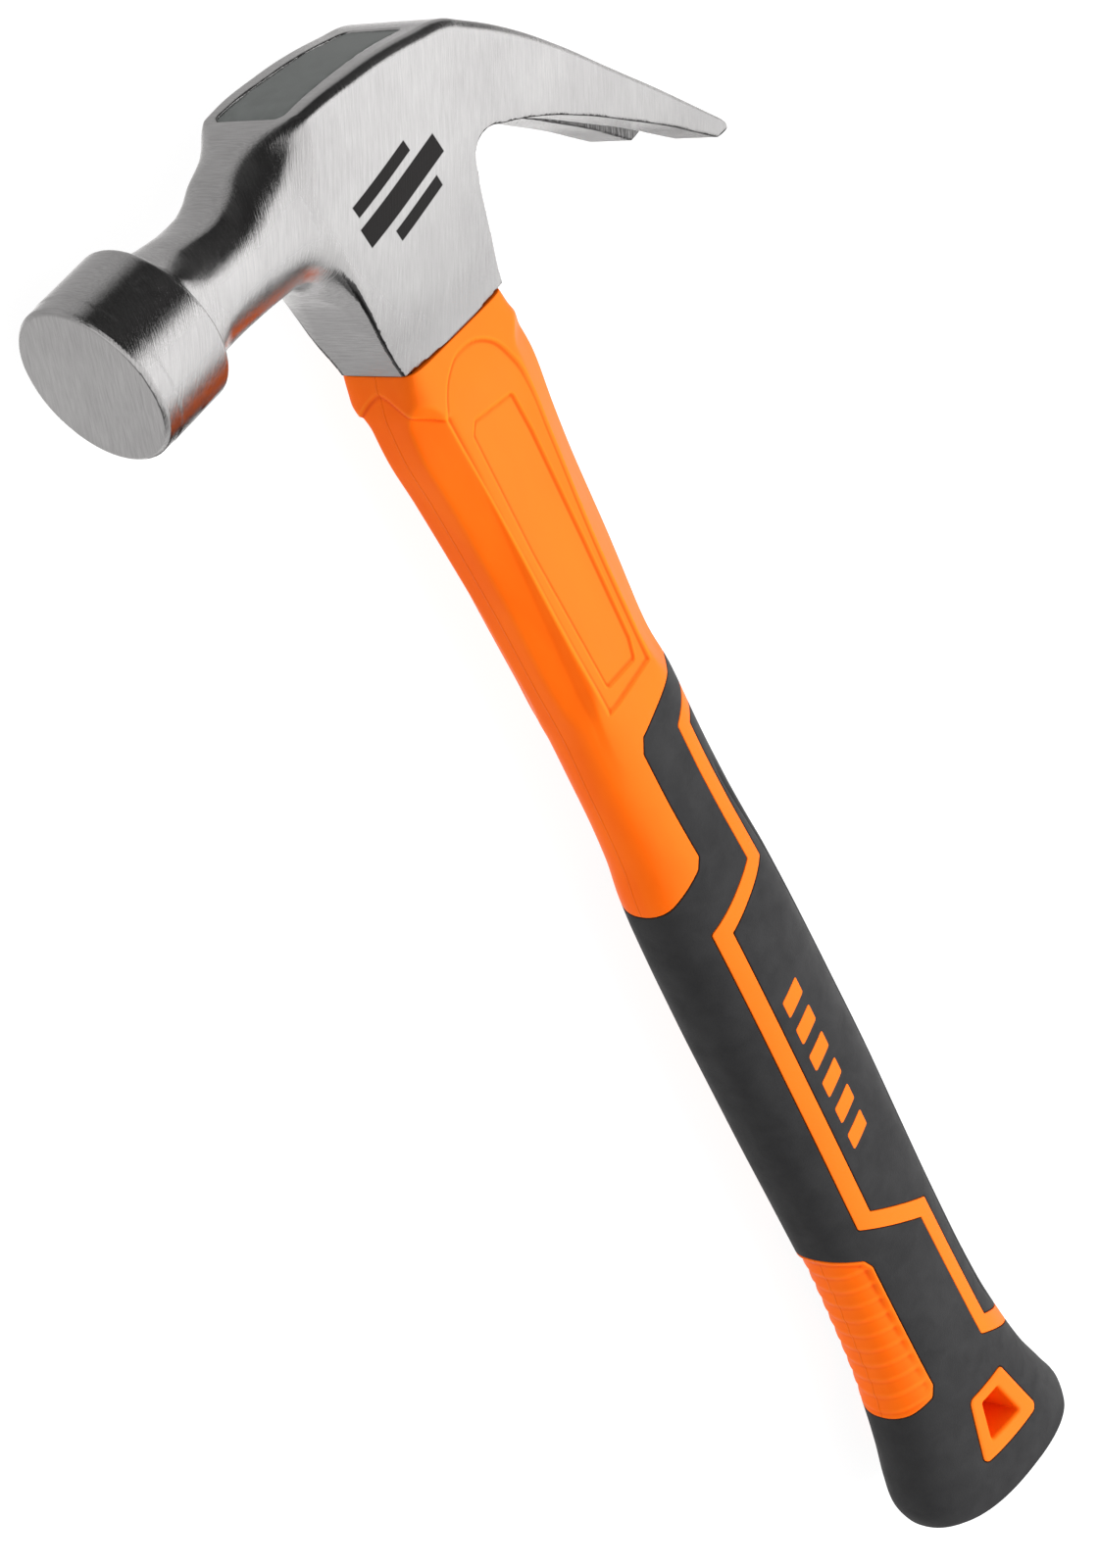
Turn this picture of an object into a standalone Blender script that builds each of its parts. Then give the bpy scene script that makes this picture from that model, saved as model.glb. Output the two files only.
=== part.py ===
"""Claw hammer: forged head, resin-set fibreglass core, two-shot moulded handle.

The hammer lies on its side. Looking along the object: +X runs from the striking face to the
claws, +Y from the butt to the top of the head, and +Z out of the upper cheek. Every shape is
drawn in millimetres from one datum, the point where the handle's axis leaves the socket, and
each object is then placed by its location.
"""
import math

import bmesh
import bpy
from mathutils import Matrix, Vector

MM = 0.001

# ---------------------------------------------------------------- driving dimensions (mm)
FACE_X = -61.8                 # striking face, from the handle's axis
TIP_X = 67.9                   # claw tips, from the handle's axis
HEAD_TOP_Y = 48.2              # crown of the head above the socket's lower edge
BUTT_Y = -277.35               # lowest point of the butt
CLAW_HALF_WIDTH = 15.2         # half the width over the claws at their tips, corners left square
WIDEST_Z = 15.13               # the same, over their rounded corners

FACE_CENTRE_Y = 32.5           # middle of the striking face
POLL_CANT = 2.5                # the face's axis leans down towards the hand (degrees)
NECK_AXIS_Y = 33.3
BELL_RADIUS = 14.35
FACE_RADIUS = 14.0
FACE_CHAMFER = 1.2
BELL_REAR_X = -45.9
FIT_GAP = 0.3                  # left between pieces that touch

# the datum's place: the box around the hammer is centred in X and Y and stands on Z = 0
LEAST_X = FACE_X - FACE_RADIUS * math.sin(math.radians(POLL_CANT))
DATUM = Vector((-(LEAST_X + TIP_X) / 2, -(HEAD_TOP_Y + BUTT_Y) / 2, WIDEST_Z)) * MM

# ---------------------------------------------------------------- head (mm)
# side outline: points on smooth stretches are "s", corners are "c"
HEAD_OUTLINE = [
    (-45.4, 43.8, "c"), (-38.0, 43.1, "s"), (-31.5, 42.3, "s"), (-27.2, 43.2, "s"),
    (-23.2, 45.7, "s"), (-19.0, 47.1, "s"), (-9.0, HEAD_TOP_Y, "s"), (0.4, 47.75, "s"),
    (8.0, 46.95, "s"), (16.0, 45.4, "s"), (22.6, 43.7, "s"), (26.0, 41.4, "s"),
    (33.6, 35.2, "s"), (41.2, 27.4, "s"), (49.0, 18.2, "s"), (58.4, 7.2, "s"),
    (TIP_X, -4.7, "c"), (67.2, -5.5, "c"), (64.2, -5.5, "c"), (60.0, -1.7, "s"),
    (56.0, 1.9, "s"), (48.0, 8.3, "s"), (40.0, 14.4, "s"), (31.0, 20.1, "s"),
    (25.0, 22.9, "s"), (20.6, 24.3, "s"), (17.6, 22.9, "s"), (16.0, 18.5, "s"),
    (14.9, 12.5, "s"), (14.0, 5.5, "s"), (13.3, 0.0, "c"),
    (-13.3, 0.0, "c"), (-15.1, 9.0, "s"), (-17.2, 17.5, "s"), (-20.3, 21.3, "s"),
    (-25.5, 22.4, "s"), (-33.0, 22.4, "s"), (-45.4, 22.0, "c"),
]
# neck sections about its axis: (x, reach up, reach down, half-width)
NECK_SECTIONS = [
    (-50.0, 14.2, 14.2, 14.2), (-46.0, 14.2, 14.2, 14.2), (-44.6, 12.4, 12.4, 12.4),
    (-42.4, 10.9, 11.2, 10.8), (-39.5, 10.0, 10.6, 9.9), (-34.5, 9.5, 10.5, 9.6),
    (-30.0, 9.8, 10.6, 9.8), (-27.0, 11.0, 10.7, 10.2), (-24.0, 14.3, 10.8, 10.8),
    (-22.0, 17.4, 11.0, 11.2), (-20.0, 20.0, 12.2, 11.7), (-18.0, 22.0, 15.0, 12.3),
    (-16.0, 24.0, 23.0, 13.0), (-13.5, 26.0, 45.0, 14.5), (-9.0, 30.0, 50.0, 18.0),
    (0.0, 40.0, 60.0, 24.0), (72.0, 120.0, 120.0, 60.0),
]
NECK_POINTS = 48
# half-width of the cheeks against height, at their fullest point: (y, half-width)
CHEEK_WIDTH = [(-60.0, 9.1), (0.0, 9.1), (10.0, 10.3), (20.0, 11.2), (30.0, 11.9), (50.0, 12.5)]
CLAW_ROOT_X = 18.0
CLAW_ROOT_HALF_WIDTH = 12.4
CROWN_FRONT = 0.0095           # how fast the cheeks fall away towards the poll
CROWN_FRONT_REACH = 18.0       # how far in front of the handle's axis they keep falling
CROWN_REAR = 0.0072            # the same towards the claws, at the socket's foot only

SLOT_ROOT_X = 38.5
SLOT_ROOT_HALF_WIDTH = 0.7
SLOT_TIP_HALF_WIDTH = 5.4
TIP_OUTER_CORNER = 1.6
TIP_INNER_CORNER = 1.2

# eye: half-widths at the socket's foot and at the crown, and its ends in x
EYE_FOOT = {"y": 0.0, "front": -10.3, "rear": 9.7, "half_front": 6.0, "half_rear": 6.0}
EYE_CROWN = {"y": 47.0, "front": -12.6, "rear": 18.6, "half_front": 8.0, "half_rear": 6.8}
RESIN_SINK = 0.6               # how far the resin lies below the crown

# ---------------------------------------------------------------- handle (mm)
CORE_HALF_DEPTH = 8.0
CORE_HALF_WIDTH = 4.6
CORE_TOP_Y = 40.5
CORE_END_Y = -238.0

# stations down the handle: y, depth to the front, depth to the back, half-width, squareness
HANDLE_STATIONS = [
    (0.0, 13.1, 12.3, 9.1, 8.0), (-3.5, 14.4, 13.2, 9.4, 6.0), (-8.0, 15.6, 14.9, 9.9, 5.0),
    (-15.0, 15.9, 15.7, 10.3, 4.5), (-25.0, 15.0, 15.1, 10.3, 4.2),
    (-36.0, 14.3, 14.5, 10.2, 4.0), (-50.0, 13.6, 14.2, 10.1, 4.0), (-66.0, 13.2, 13.4, 9.9, 3.6),
    (-72.0, 12.9, 13.1, 9.7, 3.0), (-79.0, 12.6, 13.6, 9.4, 2.5), (-95.0, 12.9, 13.8, 9.3, 2.3),
    (-105.0, 13.4, 13.9, 9.7, 2.3), (-113.0, 14.6, 14.2, 10.3, 2.3),
    (-121.0, 15.1, 14.7, 10.8, 2.3), (-135.0, 15.5, 15.2, 11.1, 2.3),
    (-150.0, 15.7, 15.5, 11.2, 2.3), (-170.0, 15.7, 15.8, 11.2, 2.3),
    (-190.0, 15.5, 15.5, 11.1, 2.3), (-205.0, 15.4, 15.3, 11.0, 2.3),
    (-220.0, 15.9, 15.4, 10.9, 2.3), (-232.0, 16.6, 15.9, 10.9, 2.3),
    (-243.0, 18.1, 17.2, 11.1, 2.3), (-253.0, 19.8, 19.0, 11.6, 2.3),
    (-261.0, 21.6, 21.6, 12.1, 2.3), (-267.0, 22.4, 23.4, 12.4, 2.3),
    (-271.8, 21.3, 23.0, 11.8, 2.3), (-274.8, 17.8, 19.7, 9.6, 2.3),
]
BUTT_SLANT_START_Y = -225.0    # below this the sections lean back
BUTT_SLANT = 0.13              # lean of the butt's end, rise over run
SECTION_POINTS = 40

# flats moulded into the upper handle
SIDE_FLAT = [(0.0, 9.3), (-78.0, 9.3), (-92.0, 9.6), (-108.0, 14.0), (-300.0, 20.0)]
FRONT_FLAT_EDGE = [(0.0, 11.0), (-10.0, 10.7), (-27.0, 9.9), (-61.0, 8.6), (-78.0, 8.0)]
BACK_FLAT_EDGE = [(0.0, 8.8), (-10.0, 8.6), (-26.0, 7.5), (-48.0, 6.0), (-66.0, 5.6)]
# half-widths of the narrow faces left along the front and the back
FRONT_FACE = [(0.0, 7.2), (-3.5, 5.0), (-11.0, 4.6), (-24.0, 4.4), (-44.0, 3.8), (-63.0, 3.2)]
BACK_FACE = [(0.0, 8.0), (-3.5, 5.4), (-16.0, 4.7), (-27.0, 4.0), (-46.0, 3.5), (-66.0, 3.1)]
FACET_RUNOUT = [(0.0, 6.0), (-3.5, 2.6), (-10.0, 0.0), (-66.0, 0.0), (-95.0, 3.0),
                (-300.0, 9.0)]

RUBBER_THICKNESS = 2.4
SUBSTRATE_END_Y = -267.5

# outlines on the handle's side, drawn straight through from cheek to cheek
GRIP_LINE = [(24.0, -73.0, "c"), (8.0, -77.8, "s"), (-3.6, -82.3, "c"), (-5.0, -85.0, "c"),
             (-4.6, -108.4, "c"), (-6.0, -110.4, "c"), (-10.5, -113.0, "s"), (-13.8, -115.0, "s"),
             (-26.0, -118.0, "c"), (-40.0, -118.0, "c"), (-40.0, -310.0, "c"), (40.0, -310.0, "c"),
             (40.0, -73.0, "c")]
TRACE_WIDTH = 3.7
TRACE_ROUTE = [(24.0, -78.5), (6.3, -87.4), (6.4, -117.8), (-7.8, -123.9), (-8.1, -195.4),
               (5.7, -204.9), (6.6, -237.9), (26.0, -252.8)]
PAD_OUTLINE = [(-30.0, -192.0), (-14.5, -201.4), (-11.2, -203.4), (-10.3, -205.6), (-10.4, -237.6),
               (-11.6, -240.0), (-16.0, -241.4), (-20.5, -241.8), (-30.0, -240.0)]
BEZEL_OUTLINE = [(5.3, -247.9), (-5.6, -246.9), (-9.6, -261.0), (9.1, -263.3)]
HOLE_OUTLINE = [(2.5, -250.0), (-3.6, -249.2), (-6.0, -258.2), (4.9, -259.8)]
BEZEL_CORNER = 1.4
HOLE_CORNER = 0.9

# ---------------------------------------------------------------- materials
MATERIALS = {
    "forged_steel": ((0.56, 0.56, 0.57), 0.28, 1.0),
    "cured_resin": ((0.12, 0.13, 0.125), 0.45, 0.0),
    "glass_fibre": ((0.62, 0.58, 0.36), 0.5, 0.0),
    "orange_plastic": ((0.95, 0.22, 0.02), 0.38, 0.0),
    "charcoal_rubber": ((0.045, 0.045, 0.047), 0.8, 0.0),
}


def make_collection(name):
    collection = bpy.data.collections.new(name)
    bpy.context.scene.collection.children.link(collection)
    return collection


def make_material(name):
    colour, roughness, metallic = MATERIALS[name]
    material = bpy.data.materials.new(name)
    material.use_nodes = True
    shader = material.node_tree.nodes["Principled BSDF"]
    shader.inputs["Base Color"].default_value = (*colour, 1.0)
    shader.inputs["Roughness"].default_value = roughness
    shader.inputs["Metallic"].default_value = metallic
    return material


# ---------------------------------------------------------------- curves through tables
def smooth_value(table, at):
    """Value at `at` on a smooth curve through the table's (position, value) pairs."""
    rows = sorted(table)
    if at <= rows[0][0]:
        return rows[0][1]
    if at >= rows[-1][0]:
        return rows[-1][1]
    index = max(i for i, row in enumerate(rows) if row[0] <= at)
    index = min(index, len(rows) - 2)
    (x0, v0), (x1, v1) = rows[index], rows[index + 1]
    span = x1 - x0
    slope = (v1 - v0) / span
    slopes = []
    for side in (index - 1, index + 1):
        if side < 0 or side + 1 >= len(rows):
            slopes.append(slope)
            continue
        (xa, va), (xb, vb) = rows[side], rows[side + 1]
        other = (vb - va) / (xb - xa)
        slopes.append(0.0 if slope * other <= 0 else 2 * slope * other / (slope + other))
    t = (at - x0) / span
    hermite = [2 * t**3 - 3 * t**2 + 1, t**3 - 2 * t**2 + t, 3 * t**2 - 2 * t**3, t**3 - t**2]
    return (hermite[0] * v0 + hermite[1] * span * slopes[0]
            + hermite[2] * v1 + hermite[3] * span * slopes[1])


def station_value(column, y):
    return smooth_value([(row[0], row[column]) for row in HANDLE_STATIONS], y)


# ---------------------------------------------------------------- object helpers
def link_mesh(name, bm, collection):
    """Turn a bmesh in millimetres into a placed object in metres."""
    bm.normal_update()
    bmesh.ops.recalc_face_normals(bm, faces=bm.faces)
    bmesh.ops.scale(bm, vec=(MM, MM, MM), verts=bm.verts)
    mesh = bpy.data.meshes.new(name)
    bm.to_mesh(mesh)
    bm.free()
    piece = bpy.data.objects.new(name, mesh)
    piece.location = DATUM
    collection.objects.link(piece)
    return piece


def add_cutter(name, bm):
    cutter = link_mesh(name, bm, CUTTERS)
    cutter.hide_render = True
    cutter.display_type = "WIRE"
    return cutter


def boolean(piece, other, operation):
    """Apply one exact Boolean at once, so that later cuts see its result."""
    modifier = piece.modifiers.new(operation.lower(), "BOOLEAN")
    modifier.operation = operation
    modifier.solver = "EXACT"
    modifier.object = other
    bpy.context.view_layer.update()
    evaluated = piece.evaluated_get(bpy.context.evaluated_depsgraph_get())
    mesh = bpy.data.meshes.new_from_object(evaluated)
    piece.modifiers.clear()
    piece.data = mesh
    return piece


def prism(name, outline, low, high, along="Z", resolution=3):
    """Filled outline pushed straight through the hammer, from `low` to `high` (mm)."""
    curve = bpy.data.curves.new(name, "CURVE")
    curve.dimensions = "2D"
    curve.fill_mode = "BOTH"
    curve.resolution_u = resolution
    curve.extrude = (high - low) / 2 * MM
    spline = curve.splines.new("BEZIER")
    spline.bezier_points.add(len(outline) - 1)
    spline.use_cyclic_u = True
    for point, (u, v, kind) in zip(spline.bezier_points, outline):
        point.co = (u * MM, v * MM, 0.0)
        handle = "AUTO" if kind == "s" else "VECTOR"
        point.handle_left_type = handle
        point.handle_right_type = handle
    shape = bpy.data.objects.new(name, curve)
    CUTTERS.objects.link(shape)
    bpy.context.view_layer.update()
    evaluated = shape.evaluated_get(bpy.context.evaluated_depsgraph_get())
    mesh = bpy.data.meshes.new_from_object(evaluated)
    bpy.data.objects.remove(shape)
    bm = bmesh.new()
    bm.from_mesh(mesh)
    bpy.data.meshes.remove(mesh)
    bmesh.ops.scale(bm, vec=(1 / MM, 1 / MM, 1 / MM), verts=bm.verts)
    bmesh.ops.remove_doubles(bm, verts=bm.verts, dist=0.0005)
    bmesh.ops.translate(bm, vec=(0, 0, (low + high) / 2), verts=bm.verts)
    if along == "Y":
        for vert in bm.verts:
            vert.co = (vert.co.x, vert.co.z, vert.co.y)
    return add_cutter(name, bm)


def skin_rings(bm, rings):
    """Close a row of equal rings into one solid with flat ends."""
    for first, second in zip(rings, rings[1:]):
        for index in range(len(first)):
            after = (index + 1) % len(first)
            bm.faces.new((first[index], first[after], second[after], second[index]))
    bm.faces.new(rings[0])
    bm.faces.new(rings[-1])


def cornered(points):
    return [(x, y, "c") for x, y in points]


def rounded_corners(points, radius, steps=3):
    """Replace each corner of a closed outline with a short arc."""
    outline = []
    count = len(points)
    for index, corner in enumerate(points):
        here = Vector(corner)
        before = (Vector(points[index - 1]) - here).normalized()
        after = (Vector(points[(index + 1) % count]) - here).normalized()
        half_angle = before.angle(after) / 2
        reach = radius / math.tan(half_angle)
        centre = here + (before + after).normalized() * radius / math.sin(half_angle)
        start = here + before * reach - centre
        end = here + after * reach - centre
        for step in range(steps + 1):
            spoke = start.slerp(end, step / steps)
            outline.append(tuple(centre + spoke))
    return outline


def inset_outline(points, distance):
    """Move every side of a closed outline inwards by `distance` (outwards if negative)."""
    area = sum(a[0] * b[1] - b[0] * a[1] for a, b in zip(points, points[1:] + points[:1]))
    turn = 1 if area > 0 else -1
    result = []
    count = len(points)
    for index in range(count):
        here = Vector(points[index])
        before = (here - Vector(points[index - 1])).normalized()
        after = (Vector(points[(index + 1) % count]) - here).normalized()
        normals = [Vector((-side.y, side.x)) * turn for side in (before, after)]
        bisector = normals[0] + normals[1]
        result.append(tuple(here + bisector * distance / (1 + normals[0].dot(normals[1]))))
    return result


def ribbon(route, width):
    """Outline of a strip of constant width along an open route."""
    sides = ([], [])
    for index, point in enumerate(route):
        here = Vector(point)
        before = here - Vector(route[index - 1]) if index else None
        after = Vector(route[index + 1]) - here if index < len(route) - 1 else None
        directions = [step.normalized() for step in (before, after) if step is not None]
        normals = [Vector((-step.y, step.x)) for step in directions]
        bisector = sum(normals, Vector((0, 0)))
        scale = 1.0 if len(normals) == 1 else 2 / (1 + normals[0].dot(normals[1]))
        offset = bisector / len(normals) * scale * width / 2
        sides[0].append(tuple(here + offset))
        sides[1].append(tuple(here - offset))
    return sides[0] + sides[1][::-1]


# ---------------------------------------------------------------- head
def cheek_half_width(x, y):
    """Half-thickness of the head's cheeks: crowned over the socket, flat along the claws."""
    full = smooth_value(CHEEK_WIDTH, y)
    foot = min(max(1.0 - y / 26.0, 0.0), 1.0)
    front = min(max(-x, 0.0), CROWN_FRONT_REACH)
    rear = max(min(x, 14.0), 0.0)
    width = full - CROWN_FRONT * (0.45 + 0.55 * foot) * front**2 - CROWN_REAR * foot * rear**2
    if x > CLAW_ROOT_X:
        flare = (x - CLAW_ROOT_X) / (TIP_X - CLAW_ROOT_X)
        claw = CLAW_ROOT_HALF_WIDTH + (CLAW_HALF_WIDTH - CLAW_ROOT_HALF_WIDTH) * flare
        blend = min((x - CLAW_ROOT_X) / 12.0, 1.0)
        width = width * (1 - blend) + claw * blend
    return width


def cheek_slab():
    """The space between the two cheeks, wide enough to hold the whole side outline."""
    low_x, high_x, low_y, high_y = -50.0, 70.0, -12.0, 54.0
    bm = bmesh.new()
    bmesh.ops.create_grid(bm, x_segments=34, y_segments=22, size=0.5)
    for vert in bm.verts:
        x = low_x + (vert.co.x + 0.5) * (high_x - low_x)
        y = low_y + (vert.co.y + 0.5) * (high_y - low_y)
        vert.co = (x, y, cheek_half_width(x, y))
    sheet = bm.faces[:]
    extruded = bmesh.ops.extrude_face_region(bm, geom=sheet)
    lower = [item for item in extruded["geom"] if isinstance(item, bmesh.types.BMVert)]
    for vert in lower:
        vert.co.z = -vert.co.z
    bmesh.ops.delete(bm, geom=[f for f in sheet if not f.is_valid], context="FACES_ONLY")
    return add_cutter("cheek_slab", bm)


def turned(name, profile, segments=48):
    """Turn a profile of (distance behind the face, radius) about the poll's axis."""
    bm = bmesh.new()
    previous = None
    for behind, radius in profile:
        vert = bm.verts.new((radius * MM, 0.0, -behind * MM))
        if previous:
            bm.edges.new((previous, vert))
        previous = vert
    mesh = bpy.data.meshes.new(name)
    bm.to_mesh(mesh)
    bm.free()
    piece = bpy.data.objects.new(name, mesh)
    CUTTERS.objects.link(piece)
    piece.hide_render = True
    piece.display_type = "WIRE"
    screw = piece.modifiers.new("turn", "SCREW")
    screw.axis = "Z"
    screw.steps = segments
    screw.render_steps = segments
    screw.use_merge_vertices = True
    screw.merge_threshold = 0.00001
    cant = Matrix.Rotation(math.radians(POLL_CANT), 4, "Z")
    to_poll_axis = Matrix.Rotation(math.radians(-90), 4, "Y")
    place = Matrix.Translation(DATUM + Vector((FACE_X, FACE_CENTRE_Y, 0.0)) * MM)
    piece.matrix_world = place @ cant @ to_poll_axis
    return piece


def bell():
    length = BELL_REAR_X - FACE_X
    profile = [(0.0, 0.0), (0.0, FACE_RADIUS), (FACE_CHAMFER, BELL_RADIUS),
               (length - 0.5, BELL_RADIUS), (length, BELL_RADIUS - 0.5),
               (length, 9.0), (length + 3.0, 9.0), (length + 3.0, 0.0)]
    return turned("bell", profile)


def neck():
    """Solid through the neck's half-ellipse sections; past the body it bounds nothing."""
    bm = bmesh.new()
    rings = []
    for x, up, down, half_width in NECK_SECTIONS:
        ring = []
        for index in range(NECK_POINTS):
            angle = 2 * math.pi * index / NECK_POINTS
            reach = up if math.sin(angle) > 0 else down
            ring.append(bm.verts.new((x, NECK_AXIS_Y + reach * math.sin(angle),
                                      half_width * math.cos(angle))))
        rings.append(ring)
    skin_rings(bm, rings)
    return add_cutter("neck", bm)


def tapered_block(name, inset, low_y, high_y):
    """The eye's tapered space, drawn in by `inset`, between two heights."""
    span = EYE_CROWN["y"] - EYE_FOOT["y"]

    def eye(key, y):
        slope = (EYE_CROWN[key] - EYE_FOOT[key]) / span
        return EYE_FOOT[key] + slope * (y - EYE_FOOT["y"])

    bm = bmesh.new()
    bmesh.ops.create_cube(bm, size=2.0)
    for vert in bm.verts:
        end = "front" if vert.co.x < 0 else "rear"
        y = low_y if vert.co.y < 0 else high_y
        x = eye(end, y) + (inset if end == "front" else -inset)
        z = (eye("half_" + end, y) - inset) * (1 if vert.co.z > 0 else -1)
        vert.co = (x, y, z)
    uprights = [e for e in bm.edges if abs(e.verts[0].co.y - e.verts[1].co.y) > 1.0]
    bmesh.ops.bevel(bm, geom=uprights, offset=1.8, segments=3, profile=0.5, affect="EDGES")
    return add_cutter(name, bm)


def slot_cutter():
    """V-slot between the claws, with the rounded corners of their tips."""
    far = TIP_X + 20.0
    side = CLAW_HALF_WIDTH + 8.0
    corner_x = TIP_X - TIP_OUTER_CORNER
    inner_x = TIP_X - TIP_INNER_CORNER
    half = [(far, side), (corner_x, side), (corner_x, CLAW_HALF_WIDTH)]
    for step in range(1, 4):
        angle = math.radians(30 * step)
        half.append((corner_x + TIP_OUTER_CORNER * math.sin(angle),
                     CLAW_HALF_WIDTH - TIP_OUTER_CORNER * (1 - math.cos(angle))))
    half.append((TIP_X, SLOT_TIP_HALF_WIDTH + TIP_INNER_CORNER))
    half.append((inner_x + 0.35, SLOT_TIP_HALF_WIDTH + 0.35))
    half.append((inner_x, SLOT_TIP_HALF_WIDTH))
    half.append((SLOT_ROOT_X, SLOT_ROOT_HALF_WIDTH))
    half.append((SLOT_ROOT_X - 0.5, SLOT_ROOT_HALF_WIDTH * 0.5))
    mirrored = [(x, -z) for x, z in reversed(half)]
    return prism("claw_slot", cornered(half + mirrored), -30.0, 60.0, along="Y")


def make_head():
    head = prism("head_outline", HEAD_OUTLINE, -20.0, 20.0)
    boolean(head, cheek_slab(), "INTERSECT")
    boolean(head, neck(), "INTERSECT")
    boolean(head, bell(), "UNION")
    boolean(head, tapered_block("eye", 0.0, -5.0, 56.0), "DIFFERENCE")
    boolean(head, slot_cutter(), "DIFFERENCE")
    return finish(head, "head", "forged_steel", 35)


# ---------------------------------------------------------------- handle
def facet_limits(y, depth, edge_x, side, face):
    """Unit normal and distance of the slanted flat from the side flat to the narrow face."""
    run = Vector((depth - edge_x, smooth_value(face, y) - side))
    normal = Vector((-run.y, run.x)).normalized()
    distance = normal.dot(Vector((edge_x, side))) + smooth_value(FACET_RUNOUT, y)
    return normal, distance


def handle_section(y, inset=0.0):
    """Closed (x, z) section of the handle, drawn in by `inset`."""
    front, back = station_value(1, y), station_value(2, y)
    half_width, power = station_value(3, y), station_value(4, y)
    side = smooth_value(SIDE_FLAT, y)
    facets = {-1: facet_limits(y, front, smooth_value(FRONT_FLAT_EDGE, y), side, FRONT_FACE),
              1: facet_limits(y, back, smooth_value(BACK_FLAT_EDGE, y), side, BACK_FACE)}
    points = []
    for index in range(SECTION_POINTS):
        angle = 2 * math.pi * (index + 0.5) / SECTION_POINTS
        cosine, sine = math.cos(angle), math.sin(angle)
        depth = back if cosine > 0 else front
        x = math.copysign(abs(cosine) ** (2 / power), cosine) * (depth - inset)
        z = math.copysign(abs(sine) ** (2 / power), sine) * (half_width - inset)
        normal, distance = facets[1 if x > 0 else -1]
        reach = normal.dot(Vector((abs(x), abs(z))))
        shrink = min(1.0, (distance - inset) / reach, (side - inset) / max(abs(z), 1e-6))
        points.append((x * shrink, z * shrink))
    return points


def handle_lean(x, y):
    """Drop of a point of the butt's slanted sections."""
    depth = max(BUTT_SLANT_START_Y - y, 0.0) / (BUTT_SLANT_START_Y - BUTT_Y)
    return -BUTT_SLANT * min(depth * 1.3, 1.0) * x


def handle_loft(name, ys, inset=0.0):
    """Solid through the handle's sections at the given heights."""
    bm = bmesh.new()
    rings = []
    for y in ys:
        ring = [bm.verts.new((x, y + handle_lean(x, y), z)) for x, z in handle_section(y, inset)]
        rings.append(ring)
    skin_rings(bm, rings)
    return add_cutter(name, bm)


def heights(top, end):
    """Heights of the loft's rows: every station and the middle of every wide step."""
    rows = [row[0] for row in HANDLE_STATIONS]
    rows += [(a + b) / 2 for a, b in zip(rows, rows[1:]) if a - b > 6.0]
    return [top] + sorted((y for y in rows if end < y < top), reverse=True) + [end]


def core_blank(name, grow, top, end):
    """Flattened round rod of the core, grown by `grow`."""
    bm = bmesh.new()
    bmesh.ops.create_cone(bm, cap_ends=True, segments=32, radius1=1.0, radius2=1.0, depth=1.0)
    for vert in bm.verts:
        vert.co = (vert.co.x * (CORE_HALF_DEPTH + grow),
                   top if vert.co.z > 0 else end,
                   vert.co.y * (CORE_HALF_WIDTH + grow))
    return add_cutter(name, bm)


def handle_regions(gap):
    """Side prisms for the rubber's window shapes; `gap` draws the plastic ones in."""
    trace = inset_outline(ribbon(TRACE_ROUTE, TRACE_WIDTH), gap)
    pad = inset_outline(PAD_OUTLINE, gap)
    bezel = inset_outline(rounded_corners(BEZEL_OUTLINE, BEZEL_CORNER), gap)
    corners = inset_outline([(x, y) for x, y, _ in GRIP_LINE], -gap)
    outline = [(x, y, kind) for (x, y), (_, _, kind) in zip(corners, GRIP_LINE)]
    rubber = prism("rubber_zone_%d" % (gap > 0), outline, -30.0, 30.0)
    for name, outline in (("trace", trace), ("pad", pad), ("bezel", bezel)):
        window = prism("%s_%d" % (name, gap > 0), cornered(outline), -40.0, 40.0)
        boolean(rubber, window, "DIFFERENCE")
    return rubber


def make_jacket():
    jacket = handle_loft("jacket_body", heights(-FIT_GAP, HANDLE_STATIONS[-1][0]))
    boolean(jacket, handle_regions(FIT_GAP), "DIFFERENCE")
    substrate = handle_loft("substrate", heights(-72.0, SUBSTRATE_END_Y + FIT_GAP),
                            RUBBER_THICKNESS + FIT_GAP)
    boolean(jacket, substrate, "UNION")
    boolean(jacket, core_blank("core_bore", FIT_GAP, 10.0, CORE_END_Y - FIT_GAP), "DIFFERENCE")
    hole = cornered(rounded_corners(HOLE_OUTLINE, HOLE_CORNER))
    boolean(jacket, prism("hang_hole", hole, -30.0, 30.0), "DIFFERENCE")
    return finish(jacket, "handle_jacket", "orange_plastic", 28)


def make_rubber():
    """Grip rubber: the main moulding, and the island that the orange line closes off."""
    rubber = handle_loft("rubber_body", heights(-66.0, HANDLE_STATIONS[-1][0]))
    boolean(rubber, handle_regions(0.0), "INTERSECT")
    substrate = handle_loft("rubber_core", heights(-50.0, SUBSTRATE_END_Y), RUBBER_THICKNESS)
    boolean(rubber, substrate, "DIFFERENCE")
    island = rubber.copy()
    island.data = rubber.data.copy()
    CUTTERS.objects.link(island)
    keep_bodies(rubber, lambda centre: centre.x < 3.0)
    keep_bodies(island, lambda centre: centre.x > 3.0)
    return [finish(rubber, "grip", "charcoal_rubber", 30),
            finish(island, "grip_back_panel", "charcoal_rubber", 30)]


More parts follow.
